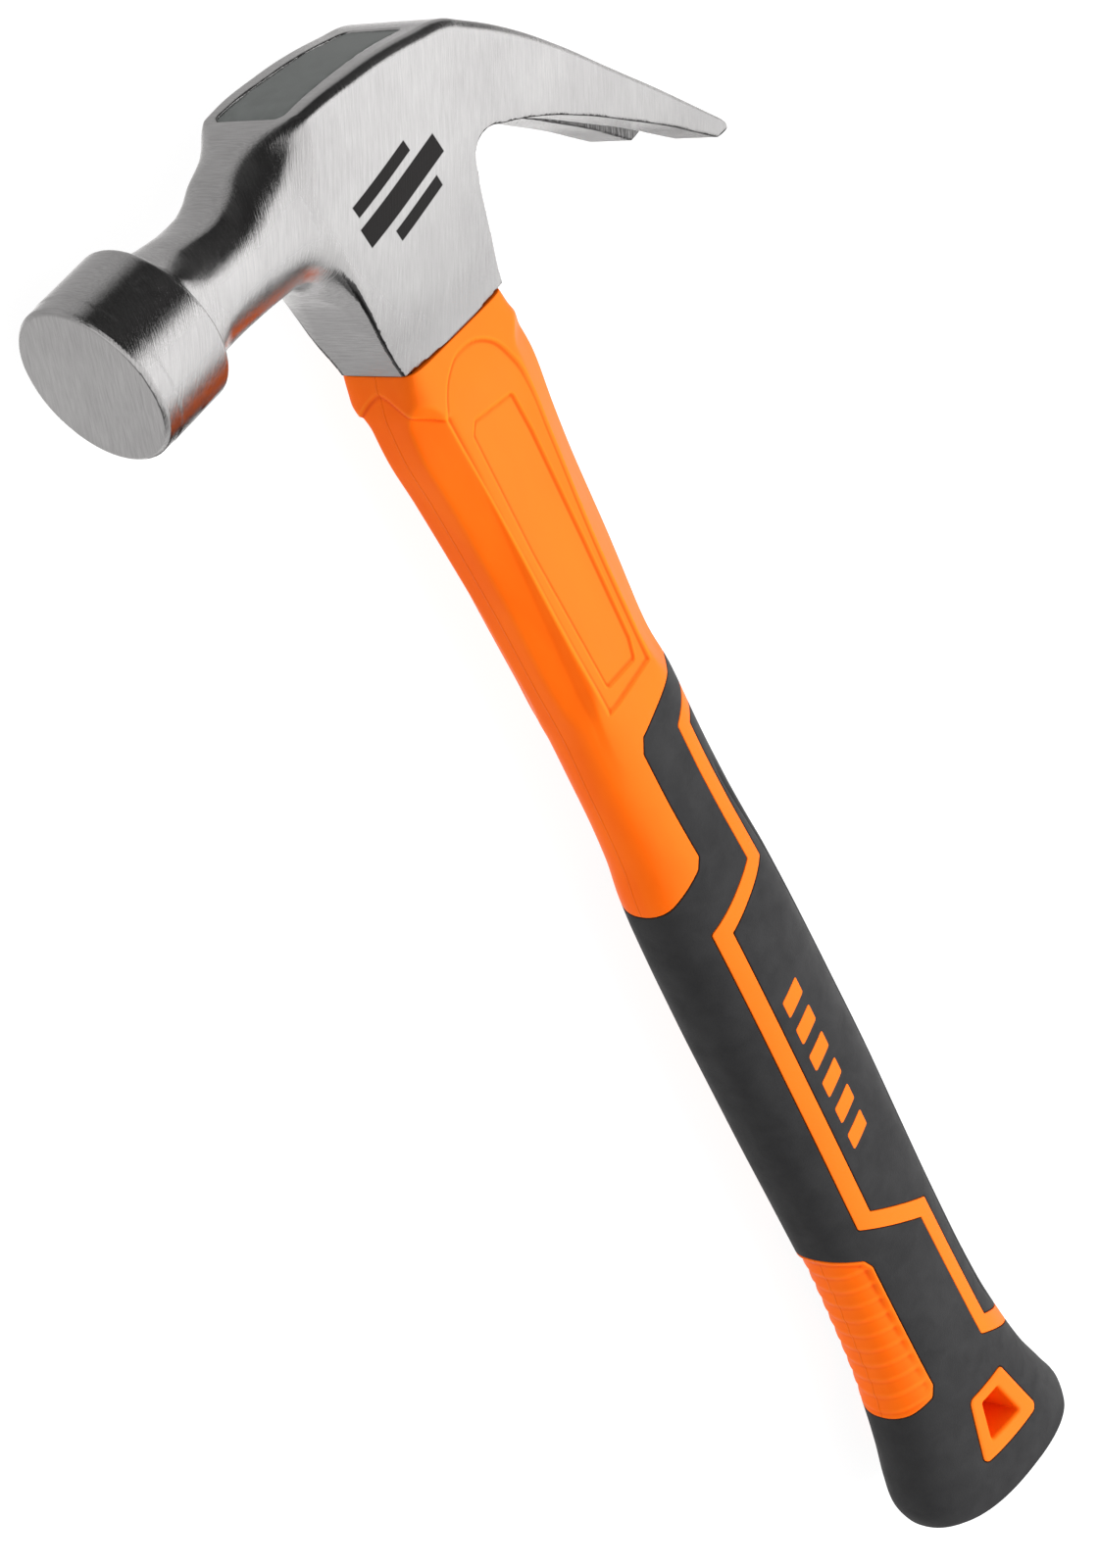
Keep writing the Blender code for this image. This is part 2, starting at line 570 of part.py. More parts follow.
def keep_bodies(piece, wanted):
    """Keep the loose bodies whose middle passes the test."""
    bm = bmesh.new()
    bm.from_mesh(piece.data)
    unseen = set(bm.verts)
    while unseen:
        stack = [unseen.pop()]
        body = []
        while stack:
            vert = stack.pop()
            body.append(vert)
            for edge in vert.link_edges:
                other = edge.other_vert(vert)
                if other in unseen:
                    unseen.remove(other)
                    stack.append(other)
        centre = sum((v.co for v in body), Vector()) / len(body) / MM
        if not wanted(centre):
            bmesh.ops.delete(bm, geom=body, context="VERTS")
    bm.to_mesh(piece.data)
    bm.free()


def make_core():
    core = core_blank("core", 0.0, CORE_TOP_Y, CORE_END_Y)
    return finish(core, "fibreglass_core", "glass_fibre", 40)


def make_resin():
    resin = tapered_block("resin", FIT_GAP, FIT_GAP, 56.0)
    sunk = [(x, y - RESIN_SINK, kind) for x, y, kind in HEAD_OUTLINE]
    boolean(resin, prism("resin_top", sunk, -20.0, 20.0), "INTERSECT")
    boolean(resin, core_blank("resin_bore", FIT_GAP, CORE_TOP_Y + FIT_GAP, -20.0), "DIFFERENCE")
    return finish(resin, "eye_resin", "cured_resin", 40)


def finish(piece, name, material, sharp_degrees):
    """Clean a finished body, shade it and move it from the cutters to the hammer."""
    bm = bmesh.new()
    bm.from_mesh(piece.data)
    bmesh.ops.remove_doubles(bm, verts=bm.verts, dist=0.000002)
    bmesh.ops.dissolve_degenerate(bm, edges=bm.edges, dist=0.000002)
    bm.to_mesh(piece.data)
    bm.free()
    piece.name = name
    piece.data.name = name
    piece.hide_render = False
    piece.display_type = "TEXTURED"
    CUTTERS.objects.unlink(piece)
    HAMMER.objects.link(piece)
    piece.data.materials.clear()
    piece.data.materials.append(make_material(material))
    piece.data.shade_smooth()
    piece.data.set_sharp_from_angle(angle=math.radians(sharp_degrees))
    return piece


for leftover in list(bpy.data.objects):
    bpy.data.objects.remove(leftover)
HAMMER = make_collection("claw_hammer")
CUTTERS = make_collection("cutters")
make_head()
make_core()
make_resin()
make_jacket()
make_rubber()
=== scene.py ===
"""Looks of the claw hammer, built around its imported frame.

Shapes are worked out in millimetres from one datum, the point where the handle's axis leaves the
socket: +X towards the claws, +Y towards the crown, +Z out of the upper cheek. The head is the
zero level of a distance function, and the handle's mouldings are one fine skin that is parted
along the colour lines.
"""
import math

import bmesh
import bpy
import numpy as np
from mathutils import Matrix, Vector
from mathutils.geometry import interpolate_bezier


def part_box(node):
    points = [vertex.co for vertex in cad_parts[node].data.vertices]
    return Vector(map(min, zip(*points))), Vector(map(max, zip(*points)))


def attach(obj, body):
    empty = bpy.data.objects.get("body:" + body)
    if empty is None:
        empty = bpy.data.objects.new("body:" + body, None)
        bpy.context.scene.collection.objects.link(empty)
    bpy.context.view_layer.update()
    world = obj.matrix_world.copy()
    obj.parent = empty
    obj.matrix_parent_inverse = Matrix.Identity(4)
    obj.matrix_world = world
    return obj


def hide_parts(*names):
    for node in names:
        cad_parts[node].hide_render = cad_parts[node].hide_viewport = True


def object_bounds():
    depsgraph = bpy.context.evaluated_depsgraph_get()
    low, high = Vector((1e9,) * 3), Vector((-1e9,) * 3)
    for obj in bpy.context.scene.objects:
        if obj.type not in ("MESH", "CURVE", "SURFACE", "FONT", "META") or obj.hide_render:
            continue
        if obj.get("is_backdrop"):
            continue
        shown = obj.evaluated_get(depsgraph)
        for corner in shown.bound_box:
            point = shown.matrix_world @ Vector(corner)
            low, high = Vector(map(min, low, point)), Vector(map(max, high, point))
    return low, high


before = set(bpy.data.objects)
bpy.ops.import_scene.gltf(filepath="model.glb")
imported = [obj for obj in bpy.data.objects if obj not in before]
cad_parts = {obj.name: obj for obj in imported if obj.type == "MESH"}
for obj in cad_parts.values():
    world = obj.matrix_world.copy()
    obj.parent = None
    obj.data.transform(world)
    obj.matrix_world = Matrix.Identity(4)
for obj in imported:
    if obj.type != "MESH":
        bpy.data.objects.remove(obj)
CAD_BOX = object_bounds()
MM = 0.001

# ---- driving dimensions (mm)
FACE_X = -61.8
TIP_X = 67.9
HEAD_TOP_Y = 48.2
FACE_CENTRE_Y = 32.5
POLL_CANT = math.radians(2.5)
FACE_RADIUS = 14.0
BELL_RADIUS = 14.35
BELL_LENGTH = 15.9
NECK_AXIS_Y = 33.3
CLAW_HALF_WIDTH = 15.2

# where the datum lies in the frame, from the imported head's own box
HEAD_LOW, HEAD_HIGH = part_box("head")
LEAST_X = FACE_X - FACE_RADIUS * math.sin(POLL_CANT)
DATUM = Vector((HEAD_LOW.x - LEAST_X * MM,
                HEAD_HIGH.y - HEAD_TOP_Y * MM,
                (HEAD_LOW.z + HEAD_HIGH.z) / 2))

# ---- head (mm)
# side view, clockwise from above the neck: points marked "c" are corners, the others smooth
HEAD_OUTLINE = [
    (-52, 43.8, "c"), (-38, 43.1), (-31.5, 42.3), (-27.2, 43.2), (-23.2, 45.7), (-19, 47.1),
    (-9, HEAD_TOP_Y), (0.4, 47.75), (8, 46.95), (16, 45.4), (22.6, 43.7), (26, 41.4),
    (33.6, 35.2), (41.2, 27.4), (49, 18.2), (58.4, 7.2), (TIP_X, -4.7, "c"), (67.2, -5.5, "c"),
    (64.2, -5.5, "c"), (60, -1.7), (56, 1.9), (48, 8.3), (40, 14.4), (31, 20.1),
    (25, 22.9), (20.6, 24.3), (17.6, 22.9), (16, 18.5), (14.9, 12.5), (14, 5.5),
    (13.3, 0, "c"), (-13.3, 0, "c"), (-15.1, 9), (-17.2, 17.5), (-20.3, 21.3), (-25.5, 22.4),
    (-33, 22.4), (-52, 22, "c"),
]
CROWN_LINE = HEAD_OUTLINE[2:12]
SIDE_LOW = (-66, -9)  # the grid that the side view's distances are kept on
SIDE_HIGH = (72, 53)
SIDE_PITCH = 0.25
# neck sections about its axis: (x, reach up, reach down, half-width)
NECK_SECTIONS = [
    (-50, 14.2, 14.2, 14.2), (-46, 13, 13.4, 13), (-44.6, 12, 12.3, 12),
    (-42.4, 10.9, 11.2, 10.8), (-39.5, 10, 10.6, 9.9), (-34.5, 9.5, 10.5, 9.5),
    (-30, 9.7, 10.6, 9.5), (-27, 10.7, 10.7, 9.8), (-24, 12.8, 10.8, 10.2),
    (-22, 13.6, 11, 10.5), (-20, 14.5, 12.2, 10.9), (-18, 16, 15, 11.5),
    (-16, 18.2, 23, 12.3), (-13.5, 22, 45, 13.6), (-9, 32, 50, 17),
    (0, 40, 60, 24), (72, 120, 120, 60),
]
CHEEK_WIDTH = [(-60, 9.1), (0, 9.1), (10, 10.3), (20, 11.2), (30, 11.9), (50, 12.5)]
CHEEK_FOOT_HEIGHT = 26.0  # below it the cheeks narrow to the front and the back
CLAW_ROOT_X = 18.0
CLAW_ROOT_HALF_WIDTH = 12.4
CROWN_FRONT = 0.0095  # narrowing of the cheeks per mm squared, and how far it reaches
CROWN_FRONT_REACH = 18.0
CROWN_REAR = 0.0072
CROWN_REAR_REACH = 14.0
NECK_FILLET = 1.6  # where the neck meets the cheeks and the bell
TIP_CORNER = 1.6
LOWER_EDGE = 0.28  # edge radius of the cheeks, and what it gains above this line
UPPER_EDGE = 2.0
UPPER_LINE = [(-20, 33), (10, 33), (26, 32), (48, 13), (68, -5)]
CLAW_EDGE_FALL = 0.45  # share of the gain lost along the claws
BAND_END = 3.5  # ground band behind the face
BAND_DEPTH = 0.10
CHAMFER_FACING = (0.75, 0.66)  # outwards, forwards
CHAMFER_WIDTH = 0.4
FACE_EDGE_RADIUS = 0.15
BELL_REAR_RADIUS = 1.1
SLOT_ROOT_X = 38.0
SLOT_ROOT_HALF_WIDTH = 0.7
SLOT_TIP_HALF_WIDTH = 5.4
SLOT_ROOT_RADIUS = 0.6
SLOT_EDGE = 0.35
# painted shade on the walls of the slot between the claws
SLOT_WALL_SHADE = 0.56
EYE_FOOT = {"front": -10.3, "rear": 9.7, "half_front": 6.0, "half_rear": 6.0}
EYE_CROWN = {"front": -12.6, "rear": 18.6, "half_front": 8.0, "half_rear": 6.8}
EYE_SPAN = 47.0
EYE_CORNER = 1.8
EYE_EDGE = 0.3
RESIN_SINK = 0.15
RESIN_RIM_DROP = 0.25
RESIN_UNEVEN = 0.05
RESIN_BOTTOM_Y = 41.2
HEAD_PITCH = 0.42  # the grid that the head's surface is found on
HEAD_GRID_LOW = (-63.6, -6.8, -15.96)
HEAD_GRID_HIGH = (69, 49.2, 15.96)

# plain bars printed on the upper cheek, tilted about a centre: shift along, rise, length, height
PRINT_TILT = math.radians(11)
PRINT_CENTRE = (-0.2, 26.6)
PRINT_BLUR = 0.06
PRINT_BARS = [(-2.2, 4.6, 15, 2.2), (0, 0, 21.5, 3.9), (0.8, -4.6, 12.5, 2.2)]

# ---- handle (mm)
# stations: y, depth to the front, depth to the back, half-width, squareness
HANDLE_STATIONS = [
    (0, 13.1, 12.3, 9.1, 8), (-3.5, 14.4, 13.2, 9.4, 6), (-8, 15.6, 14.9, 9.9, 5),
    (-15, 15.9, 15.7, 10.3, 4.5), (-25, 15, 15.1, 10.3, 4.2),
    (-36, 14.3, 14.5, 10.2, 4), (-50, 13.6, 14.2, 10.1, 4), (-66, 13.2, 13.4, 9.9, 3.6),
    (-72, 12.9, 13.1, 9.7, 3), (-79, 12.6, 13.6, 9.4, 2.5), (-95, 12.9, 13.8, 9.3, 2.3),
    (-105, 13.4, 13.9, 9.7, 2.3), (-113, 14.6, 14.2, 10.3, 2.3),
    (-121, 15.1, 14.7, 10.8, 2.3), (-135, 15.5, 15.2, 11.1, 2.3),
    (-150, 15.7, 15.5, 11.2, 2.3), (-170, 15.7, 15.8, 11.2, 2.3),
    (-190, 15.5, 15.5, 11.1, 2.3), (-205, 15.4, 15.3, 11, 2.3),
    (-220, 15.9, 15.4, 10.9, 2.3), (-232, 16.6, 15.9, 10.9, 2.3),
    (-243, 18.1, 17.2, 11.1, 2.3), (-253, 19.8, 19, 11.6, 2.3),
    (-261, 21.6, 21.6, 12.1, 2.3), (-267, 22.4, 23.4, 12.4, 2.3),
    (-271.8, 21.3, 23, 11.8, 2.3), (-274.8, 17.8, 19.7, 9.6, 2.3),
]
BUTT_Y = -277.35
BUTT_END_Y = HANDLE_STATIONS[-1][0]
BUTT_DOME = 0.35
BUTT_SQUARENESS = 10  # how abruptly the butt's end turns flat
DOME_ROWS = 26
DOME_CLOSED = 0.001  # size of the last row, which closes the butt
BUTT_SLANT_START_Y = -225.0
BUTT_SLANT = 0.13  # how much the butt's end drops towards the back
SIDE_FLAT = [(0, 9.3), (-78, 9.3), (-92, 9.6), (-108, 14), (-300, 20)]
FRONT_FLAT_EDGE = [(0, 11), (-10, 10.7), (-27, 9.9), (-61, 8.6), (-78, 8)]
BACK_FLAT_EDGE = [(0, 8.8), (-10, 8.6), (-26, 7.5), (-48, 6), (-66, 5.6)]
FRONT_FACE = [(0, 7.2), (-3.5, 5), (-11, 4.6), (-24, 4.4), (-44, 3.8), (-63, 3.2)]
BACK_FACE = [(0, 8), (-3.5, 5.4), (-16, 4.7), (-27, 4), (-46, 3.5), (-66, 3.1)]
FACET_RUNOUT = [(0, 6), (-3.5, 2.6), (-10, 0), (-66, 0), (-95, 3), (-300, 9)]
EDGE_SHARPNESS = 55.0  # how tightly neighbouring flats meet
JACKET_TOP_Y = -0.02
SKIN_TOP_Y = 0.8  # the skin's grid: its first row, columns and row spacing
COLUMNS = 320
ROW_STEP = 0.36

# outlines on the handle's side view
GRIP_LINE = [(24, -73, "c"), (8, -77.8), (-3.6, -82.3, "c"), (-5, -85, "c"),
             (-4.6, -108.4, "c"), (-6, -110.4, "c"), (-10.5, -113), (-13.8, -115),
             (-26, -118, "c"), (-40, -118, "c"), (-40, -310, "c"), (40, -310, "c"),
             (40, -73, "c")]
TRACE_WIDTH = 3.7
TRACE_ROUTE = [(24, -78.5), (6.3, -87.4), (6.4, -117.8), (-7.8, -123.9), (-8.1, -195.4),
               (5.7, -204.9), (6.6, -237.9), (26, -252.8)]
PAD_OUTLINE = [(-30, -192), (-14.5, -201.4), (-11.2, -203.4), (-10.3, -205.6), (-10.4, -237.6),
               (-11.6, -240), (-16, -241.4), (-20.5, -241.8), (-30, -240)]
BEZEL_OUTLINE = [(5.3, -247.9), (-5.6, -246.9), (-9.6, -261), (9.1, -263.3)]
HOLE_OUTLINE = [(2.5, -250), (-3.6, -249.2), (-6, -258.2), (4.9, -259.8)]
PANEL_OUTLINE = [(4, -15.2), (-5.6, -14), (-7.3, -16), (-7.2, -40), (-5.6, -70),
                 (2.6, -70), (3.6, -66), (4.1, -45), (4.4, -23)]
ARCH_OUTLINE = [(-10.6, -10, "c"), (-8.6, -6.6), (-6.2, -4.2), (-2.4, -2.6), (3.6, -4.4),
                (7.3, -10.7), (8.2, -16), (7.6, -26), (6, -48), (5.2, -72, "c"),
                (-7.6, -74, "c"), (-8.6, -60), (-9.8, -27)]
COLLAR_RIDGE_Y = -2.6  # ridge under the collar, along the front face
COLLAR_RIDGE_DROP = 7.2  # how much lower it meets the side flat
COLLAR_HALF_WIDTH = 9.05
COLLAR_STEP = 0.42
ARCH_DEPTH = 0.42
PANEL_DEPTH = 0.36
RIB_PITCH = 3.75
RIB_DEPTH = 0.3
RIB_CREST = 0.7  # share of a rib's pitch before its crest
RIB_BOW = 0.02  # how the ribs bow away from the line x = RIB_BOW_X
RIB_BOW_X = -11.0
PAD_SINK = 0.45
SEAM_DEPTH = 0.4
SEAM_OUT = 7.4  # distance of the grip's back grooves from the middle plane
SEAM_HALF_WIDTH = 0.35
BEZEL_RISE = 0.2
PART_GAP = 0.1  # between plastic and rubber
EDGE_ROLL = 0.22  # radius of the moulded edges along the colour lines
SKIRT_DEPTH = 1.4  # how far a moulded edge is turned down
SKIRT_BEND = 0.5  # the bend that its material is told of, per mm
HOLE_ROLL = 0.9
HOLE_REACH = 1.5  # edge points this near the hole belong to it
HOLE_TAPER = 1.1  # how far its walls close in at the middle plane
BAR_COUNT = 6
BAR_FIRST_Y = -145.0
BAR_PITCH = 6.6
BAR_LENGTH = 5.4
BAR_WIDTH = 3.9
BAR_CENTRE_X = -1.0
BAR_LEAN = 0.35
BAR_ROLL = 0.1
BAR_LIFT = 0.08

# ---- studio (m)
WORLD_LIGHT = 0.62
KEY_OFFSET = Vector((0.5, -0.6, 1.4))
KEY_SIZE = 1.4
KEY_ENERGY = 35.0
FLOOR_GLOW = 0.92
FLOOR_HALF_SIZE = 6.0
FLOOR_GAP = 0.0005
DOME_RADIUS = 20.0
CARD_DIM = 0.74  # white cards, from dim to bright
CARD_BRIGHT = 1.55
CARD_BLACK = 0.03
CARD_WINDOW = 0.07  # dim gaps between the black cards
GROUND_POLL = 0.58
GROUND_BACK = 0.42
GROUND_CLAW = 1.10

# ---- camera (mm)
LENS = 87.4
SENSOR_WIDTH = 36.0
CAMERA_FROM_DATUM = Vector((-356.1, 252.2, 445.4)) * MM
CAMERA_BACK = Vector((-0.51802, 0.51196, 0.68524))
CAMERA_UP = Vector((0.63956, 0.76379, -0.08715))


# ---- number helpers
def ease(low, high, value):
    """0 at `low`, 1 at `high`, with an even ease between them; `low` may be the larger."""
    t = np.clip((value - low) / (high - low), 0.0, 1.0)
    return t * t * (3 - 2 * t)


def smooth_curve(table, at, column=1):
    """Values at `at` on a smooth curve through a table's positions and one column's values."""
    rows = np.array(sorted(table), float)
    xs, vs = rows[:, 0], rows[:, column]
    steps = np.diff(vs) / np.diff(xs)
    slopes = np.concatenate([steps[:1], np.zeros(len(xs) - 2), steps[-1:]])
    before, after = steps[:-1], steps[1:]
    same_way = before * after > 0
    total = np.where(same_way, before + after, 1.0)
    slopes[1:-1] = np.where(same_way, 2 * before * after / total, 0.0)
    at = np.clip(at, xs[0], xs[-1])
    i = np.clip(np.searchsorted(xs, at, side="right") - 1, 0, len(xs) - 2)
    span = xs[i + 1] - xs[i]
    t = (at - xs[i]) / span
    return ((2 * t**3 - 3 * t**2 + 1) * vs[i] + (t**3 - 2 * t**2 + t) * span * slopes[i]
            + (3 * t**2 - 2 * t**3) * vs[i + 1] + (t**3 - t**2) * span * slopes[i + 1])


def round_common(a, b, radius):
    """Distance to the space in both shapes, its outer edge rounded."""
    corner = np.hypot(np.maximum(radius + a, 0), np.maximum(radius + b, 0))
    return np.minimum(-radius, np.maximum(a, b)) + corner


def round_joined(a, b, radius):
    """Distance to the space in either shape, with a fillet where they meet."""
    return -round_common(-a, -b, radius)


def bezier_outline(outline, steps=16):
    """Points along a closed outline, smooth except at the points marked "c"."""
    points = [Vector(row[:2]) for row in outline]
    arms = []
    for index, here in enumerate(points):
        back = here - points[index - 1]
        ahead = points[(index + 1) % len(points)] - here
        if len(outline[index]) == 2:
            tangent = back.normalized() + ahead.normalized()
            tangent /= tangent.length * 2.5614      # arms near those of a circle
            arms.append((here - tangent * back.length, here + tangent * ahead.length))
        else:
            arms.append((here - back / 3, here + ahead / 3))
    result = []
    for index, here in enumerate(points):
        after = (index + 1) % len(points)
        run = interpolate_bezier(here, arms[index][1], arms[after][0], points[after], steps + 1)
        result += [tuple(p) for p in run[:-1]]
    return result


def outline_distance(points, x, y):
    """Signed distance to a closed outline, negative inside."""
    nearest = np.full(np.shape(x), 1e9)
    inside = np.zeros(np.shape(x), bool)
    for (ax, ay), (bx, by) in zip(points, points[1:] + points[:1]):
        ex, ey = bx - ax, by - ay
        px, py = x - ax, y - ay
        t = np.clip((px * ex + py * ey) / (ex * ex + ey * ey), 0, 1)
        nearest = np.minimum(nearest, (px - t * ex) ** 2 + (py - t * ey) ** 2)
        if ay != by:
            inside ^= ((ay > y) != (by > y)) & (px < py * ex / ey)
    return np.where(inside, -1, 1) * np.sqrt(nearest)


def mitre(before, after):
    """Step off a corner, to the left, that lies one unit from the sides before and after it."""
    first, second = (Vector((-side.y, side.x)).normalized() for side in (before, after))
    return (first + second) / (1 + first.dot(second))


def inset_outline(points, distance):
    """Move every side of a closed outline inwards by `distance`."""
    area = sum(a[0] * b[1] - b[0] * a[1] for a, b in zip(points, points[1:] + points[:1]))
    inwards = math.copysign(distance, area)
    corners = [Vector(point) for point in points]
    sides = [after - here for here, after in zip(corners, corners[1:] + corners[:1])]
    return [tuple(here + mitre(before, after) * inwards)
            for here, before, after in zip(corners, sides[-1:] + sides[:-1], sides)]


def shape(points, radius=0.0):
    """Distance function of a closed outline, its corners rounded if a radius is given."""
    inner = inset_outline(points, radius)
    return lambda x, y: outline_distance(inner, x, y) - radius


def ribbon(route, width):
    """Outline of a strip of constant width along an open route."""
    corners = [Vector(point) for point in route]
    sides = [after - here for here, after in zip(corners, corners[1:])]
    steps = [mitre(before, after) * width / 2
             for before, after in zip(sides[:1] + sides, sides + sides[-1:])]
    left = [tuple(here + step) for here, step in zip(corners, steps)]
    right = [tuple(here - step) for here, step in zip(corners, steps)]
    return left + right[::-1]


class PlaneField:
    """Values on a flat grid, read between its points by a smooth cubic."""

    def __init__(self, function, low, high, pitch):
        self.low, self.pitch = low, pitch
        xs = np.arange(low[0], high[0] + pitch, pitch)
        ys = np.arange(low[1], high[1] + pitch, pitch)
        self.values = function(*np.meshgrid(xs, ys, indexing="ij"))

    @staticmethod
    def weights(t):
        """Shares of four grid values for a place `t` of the way between the middle two."""
        return [((2 - t) * t - 1) * t / 2, ((3 * t - 5) * t * t + 2) / 2,
                ((4 - 3 * t) * t + 1) * t / 2, (t - 1) * t * t / 2]

    def __call__(self, x, y):
        size = self.values.shape
        u = (x - self.low[0]) / self.pitch
        v = (y - self.low[1]) / self.pitch
        i = np.clip(np.floor(u).astype(int), 1, size[0] - 3)
        j = np.clip(np.floor(v).astype(int), 1, size[1] - 3)
        across, up = self.weights(u - i), self.weights(v - j)
        total = 0.0
        for a in range(4):
            for b in range(4):
                total = total + across[a] * up[b] * self.values[i + a - 1, j + b - 1]
        return total


# ---- mesh helpers
def add_object(name, data):
    """A new object in the scene."""
    item = bpy.data.objects.new(name, data)
    bpy.context.scene.collection.objects.link(item)
    return item


def add_simple(name, bm, material):
    """An object of one material from a bmesh, which is freed."""
    mesh = bpy.data.meshes.new(name)
    bm.to_mesh(mesh)
    bm.free()
    mesh.materials.append(material)
    return add_object(name, mesh)


def make_piece(name, points, faces, normals, material):
    """A smooth mesh object from local millimetre points and faces of any length."""
    mesh = bpy.data.meshes.new(name)
    world = np.asarray(points) * MM + np.array(DATUM)
    mesh.from_pydata(world.tolist(), [], [[int(index) for index in face] for face in faces])
    mesh.validate()
    mesh.shade_smooth()
    if normals is not None:
        mesh.normals_split_custom_set_from_vertices(np.asarray(normals).tolist())
    mesh.materials.append(material)
    return add_object(name, mesh)


def set_values(piece, name, values):
    """Give each point of a piece a number that its material can read."""
    layer = piece.data.attributes.new(name, "FLOAT", "POINT")
    layer.data.foreach_set("value", np.asarray(values, np.float32))


def surface_net(values, low, pitch):
    """Points and four-sided faces of the zero level of a grid of values."""
    inside = values < 0
    corners = [(i, j, k) for i in (0, 1) for j in (0, 1) for k in (0, 1)]
    size = np.array(values.shape) - 1
    count = np.zeros(size, np.int8)
    for i, j, k in corners:
        count += inside[i:i + size[0], j:j + size[1], k:k + size[2]]
    mixed = (count > 0) & (count < 8)
    cells = np.argwhere(mixed)
    number = np.full(size, -1, np.int64)
    number[mixed] = np.arange(len(cells))
    total = np.zeros((len(cells), 3))
    crossings = np.zeros(len(cells))
    faces = []
    for axis in range(3):
        step = np.eye(3, dtype=int)[axis]
        for corner in corners:
            if corner[axis]:
                continue
            start = cells + corner
            end = start + step
            first, second = values[tuple(start.T)], values[tuple(end.T)]
            cross = (first < 0) != (second < 0)
            share = first[cross] / (first[cross] - second[cross])
            total[cross] += start[cross] + share[:, None] * step
            crossings[cross] += 1
        near = [slice(0, -1) if a == axis else slice(1, -1) for a in range(3)]
        far = [slice(1, None) if a == axis else slice(1, -1) for a in range(3)]
        starts = inside[tuple(near)]
        edges = np.argwhere(starts != inside[tuple(far)])
        outward = starts[tuple(edges.T)]
        edges += [0 if a == axis else 1 for a in range(3)]
        u, v = np.eye(3, dtype=int)[(axis + 1) % 3], np.eye(3, dtype=int)[(axis + 2) % 3]
        ring = np.stack([number[tuple((edges - shift).T)] for shift in (0 * u, u, u + v, v)], 1)
        ring[~outward] = ring[~outward][:, ::-1]
        faces.append(ring)
    return low + pitch * total / crossings[:, None], np.concatenate(faces)


def gradient_at(function, points, reach=0.04):
    """Slope of a function of x, y and z at each point, by small steps either way."""
    columns = []
    for axis in range(3):
        step = np.eye(3)[axis] * reach
        columns.append((function(*(points + step).T) - function(*(points - step).T)) / (2 * reach))
    return np.stack(columns, 1)


def settle(function, points, rounds=3, reach=0.3):
    """Move points onto the function's zero level and give its outward directions."""
    for _ in range(rounds):
        slope = gradient_at(function, points)
        value = np.clip(function(*points.T), -reach, reach)
        points = points - slope * (value / np.maximum((slope**2).sum(1), 0.2))[:, None]
    slope = gradient_at(function, points)
    return points, slope / np.linalg.norm(slope, axis=1)[:, None]


# ---- head
def cheek_half_width(x, y):
    """Half of the head's thickness: narrowed to the neck, flared along the claws."""
    full = smooth_curve(CHEEK_WIDTH, y)
    foot = np.clip(1.0 - y / CHEEK_FOOT_HEIGHT, 0.0, 1.0)
    front = np.clip(-x, 0.0, CROWN_FRONT_REACH)
    rear = np.clip(x, 0.0, CROWN_REAR_REACH)
    width = full - CROWN_FRONT * (0.45 + 0.55 * foot) * front**2 - CROWN_REAR * foot * rear**2
    flare = np.clip((x - CLAW_ROOT_X) / (TIP_X - CLAW_ROOT_X), 0.0, 1.0)
    claw = CLAW_ROOT_HALF_WIDTH + (CLAW_HALF_WIDTH - CLAW_ROOT_HALF_WIDTH) * flare
    blend = ease(CLAW_ROOT_X - 4.0, CLAW_ROOT_X + 14.0, x)
    return width * (1 - blend) + claw * blend


def neck_distance(x, y, z):
    """About the distance to the neck, whose sections are two half ovals back to back."""
    up, down, half = (smooth_curve(NECK_SECTIONS, x, column) for column in (1, 2, 3))
    rise = y - NECK_AXIS_Y
    reach = np.where(rise > 0, up, down)
    size = np.hypot(rise / reach, z / half)
    slope = np.hypot(rise / reach**2, z / half**2)
    return size * (size - 1) / np.maximum(slope, 1e-6)


def bell_distance(x, y, z):
    """The turned bell: face, chamfer, barrel and rounded rear edge."""
    cosine, sine = math.cos(POLL_CANT), math.sin(POLL_CANT)
    x, y = x - FACE_X, y - FACE_CENTRE_Y
    behind = x * cosine + y * sine
    radial = np.hypot(y * cosine - x * sine, z)
    ground_band = 1 - ease(BAND_END - 0.3, BAND_END + 0.3, behind)
    barrel = radial - BELL_RADIUS + BAND_DEPTH * ground_band
    outwards, forwards = CHAMFER_FACING
    chamfer = outwards * (radial - FACE_RADIUS + CHAMFER_WIDTH) - forwards * behind
    sides = round_common(barrel, chamfer, FACE_EDGE_RADIUS)
    bell = round_common(sides, -behind, FACE_EDGE_RADIUS)
    return round_common(bell, behind - BELL_LENGTH, BELL_REAR_RADIUS)


def eye_distance(x, y, z):
    """The tapered eye through the socket, longer and wider at the crown."""
    share = y / EYE_SPAN
    ends = {key: EYE_FOOT[key] + (EYE_CROWN[key] - EYE_FOOT[key]) * share for key in EYE_FOOT}
    along = np.clip((x - ends["front"]) / (ends["rear"] - ends["front"]), 0.0, 1.0)
    half = ends["half_front"] + (ends["half_rear"] - ends["half_front"]) * along
    lengthwise = np.maximum(ends["front"] - x, x - ends["rear"])
    return round_common(lengthwise, np.abs(z) - half, EYE_CORNER)


def slot_distance(x, z):
    """The V-shaped slot between the claws."""
    flare = (SLOT_TIP_HALF_WIDTH - SLOT_ROOT_HALF_WIDTH) / (TIP_X - SLOT_ROOT_X)
    half = SLOT_ROOT_HALF_WIDTH + flare * (x - SLOT_ROOT_X)
    walls = (np.abs(z) - half) * math.cos(math.atan(flare))
    return round_common(walls, SLOT_ROOT_X - x, SLOT_ROOT_RADIUS)


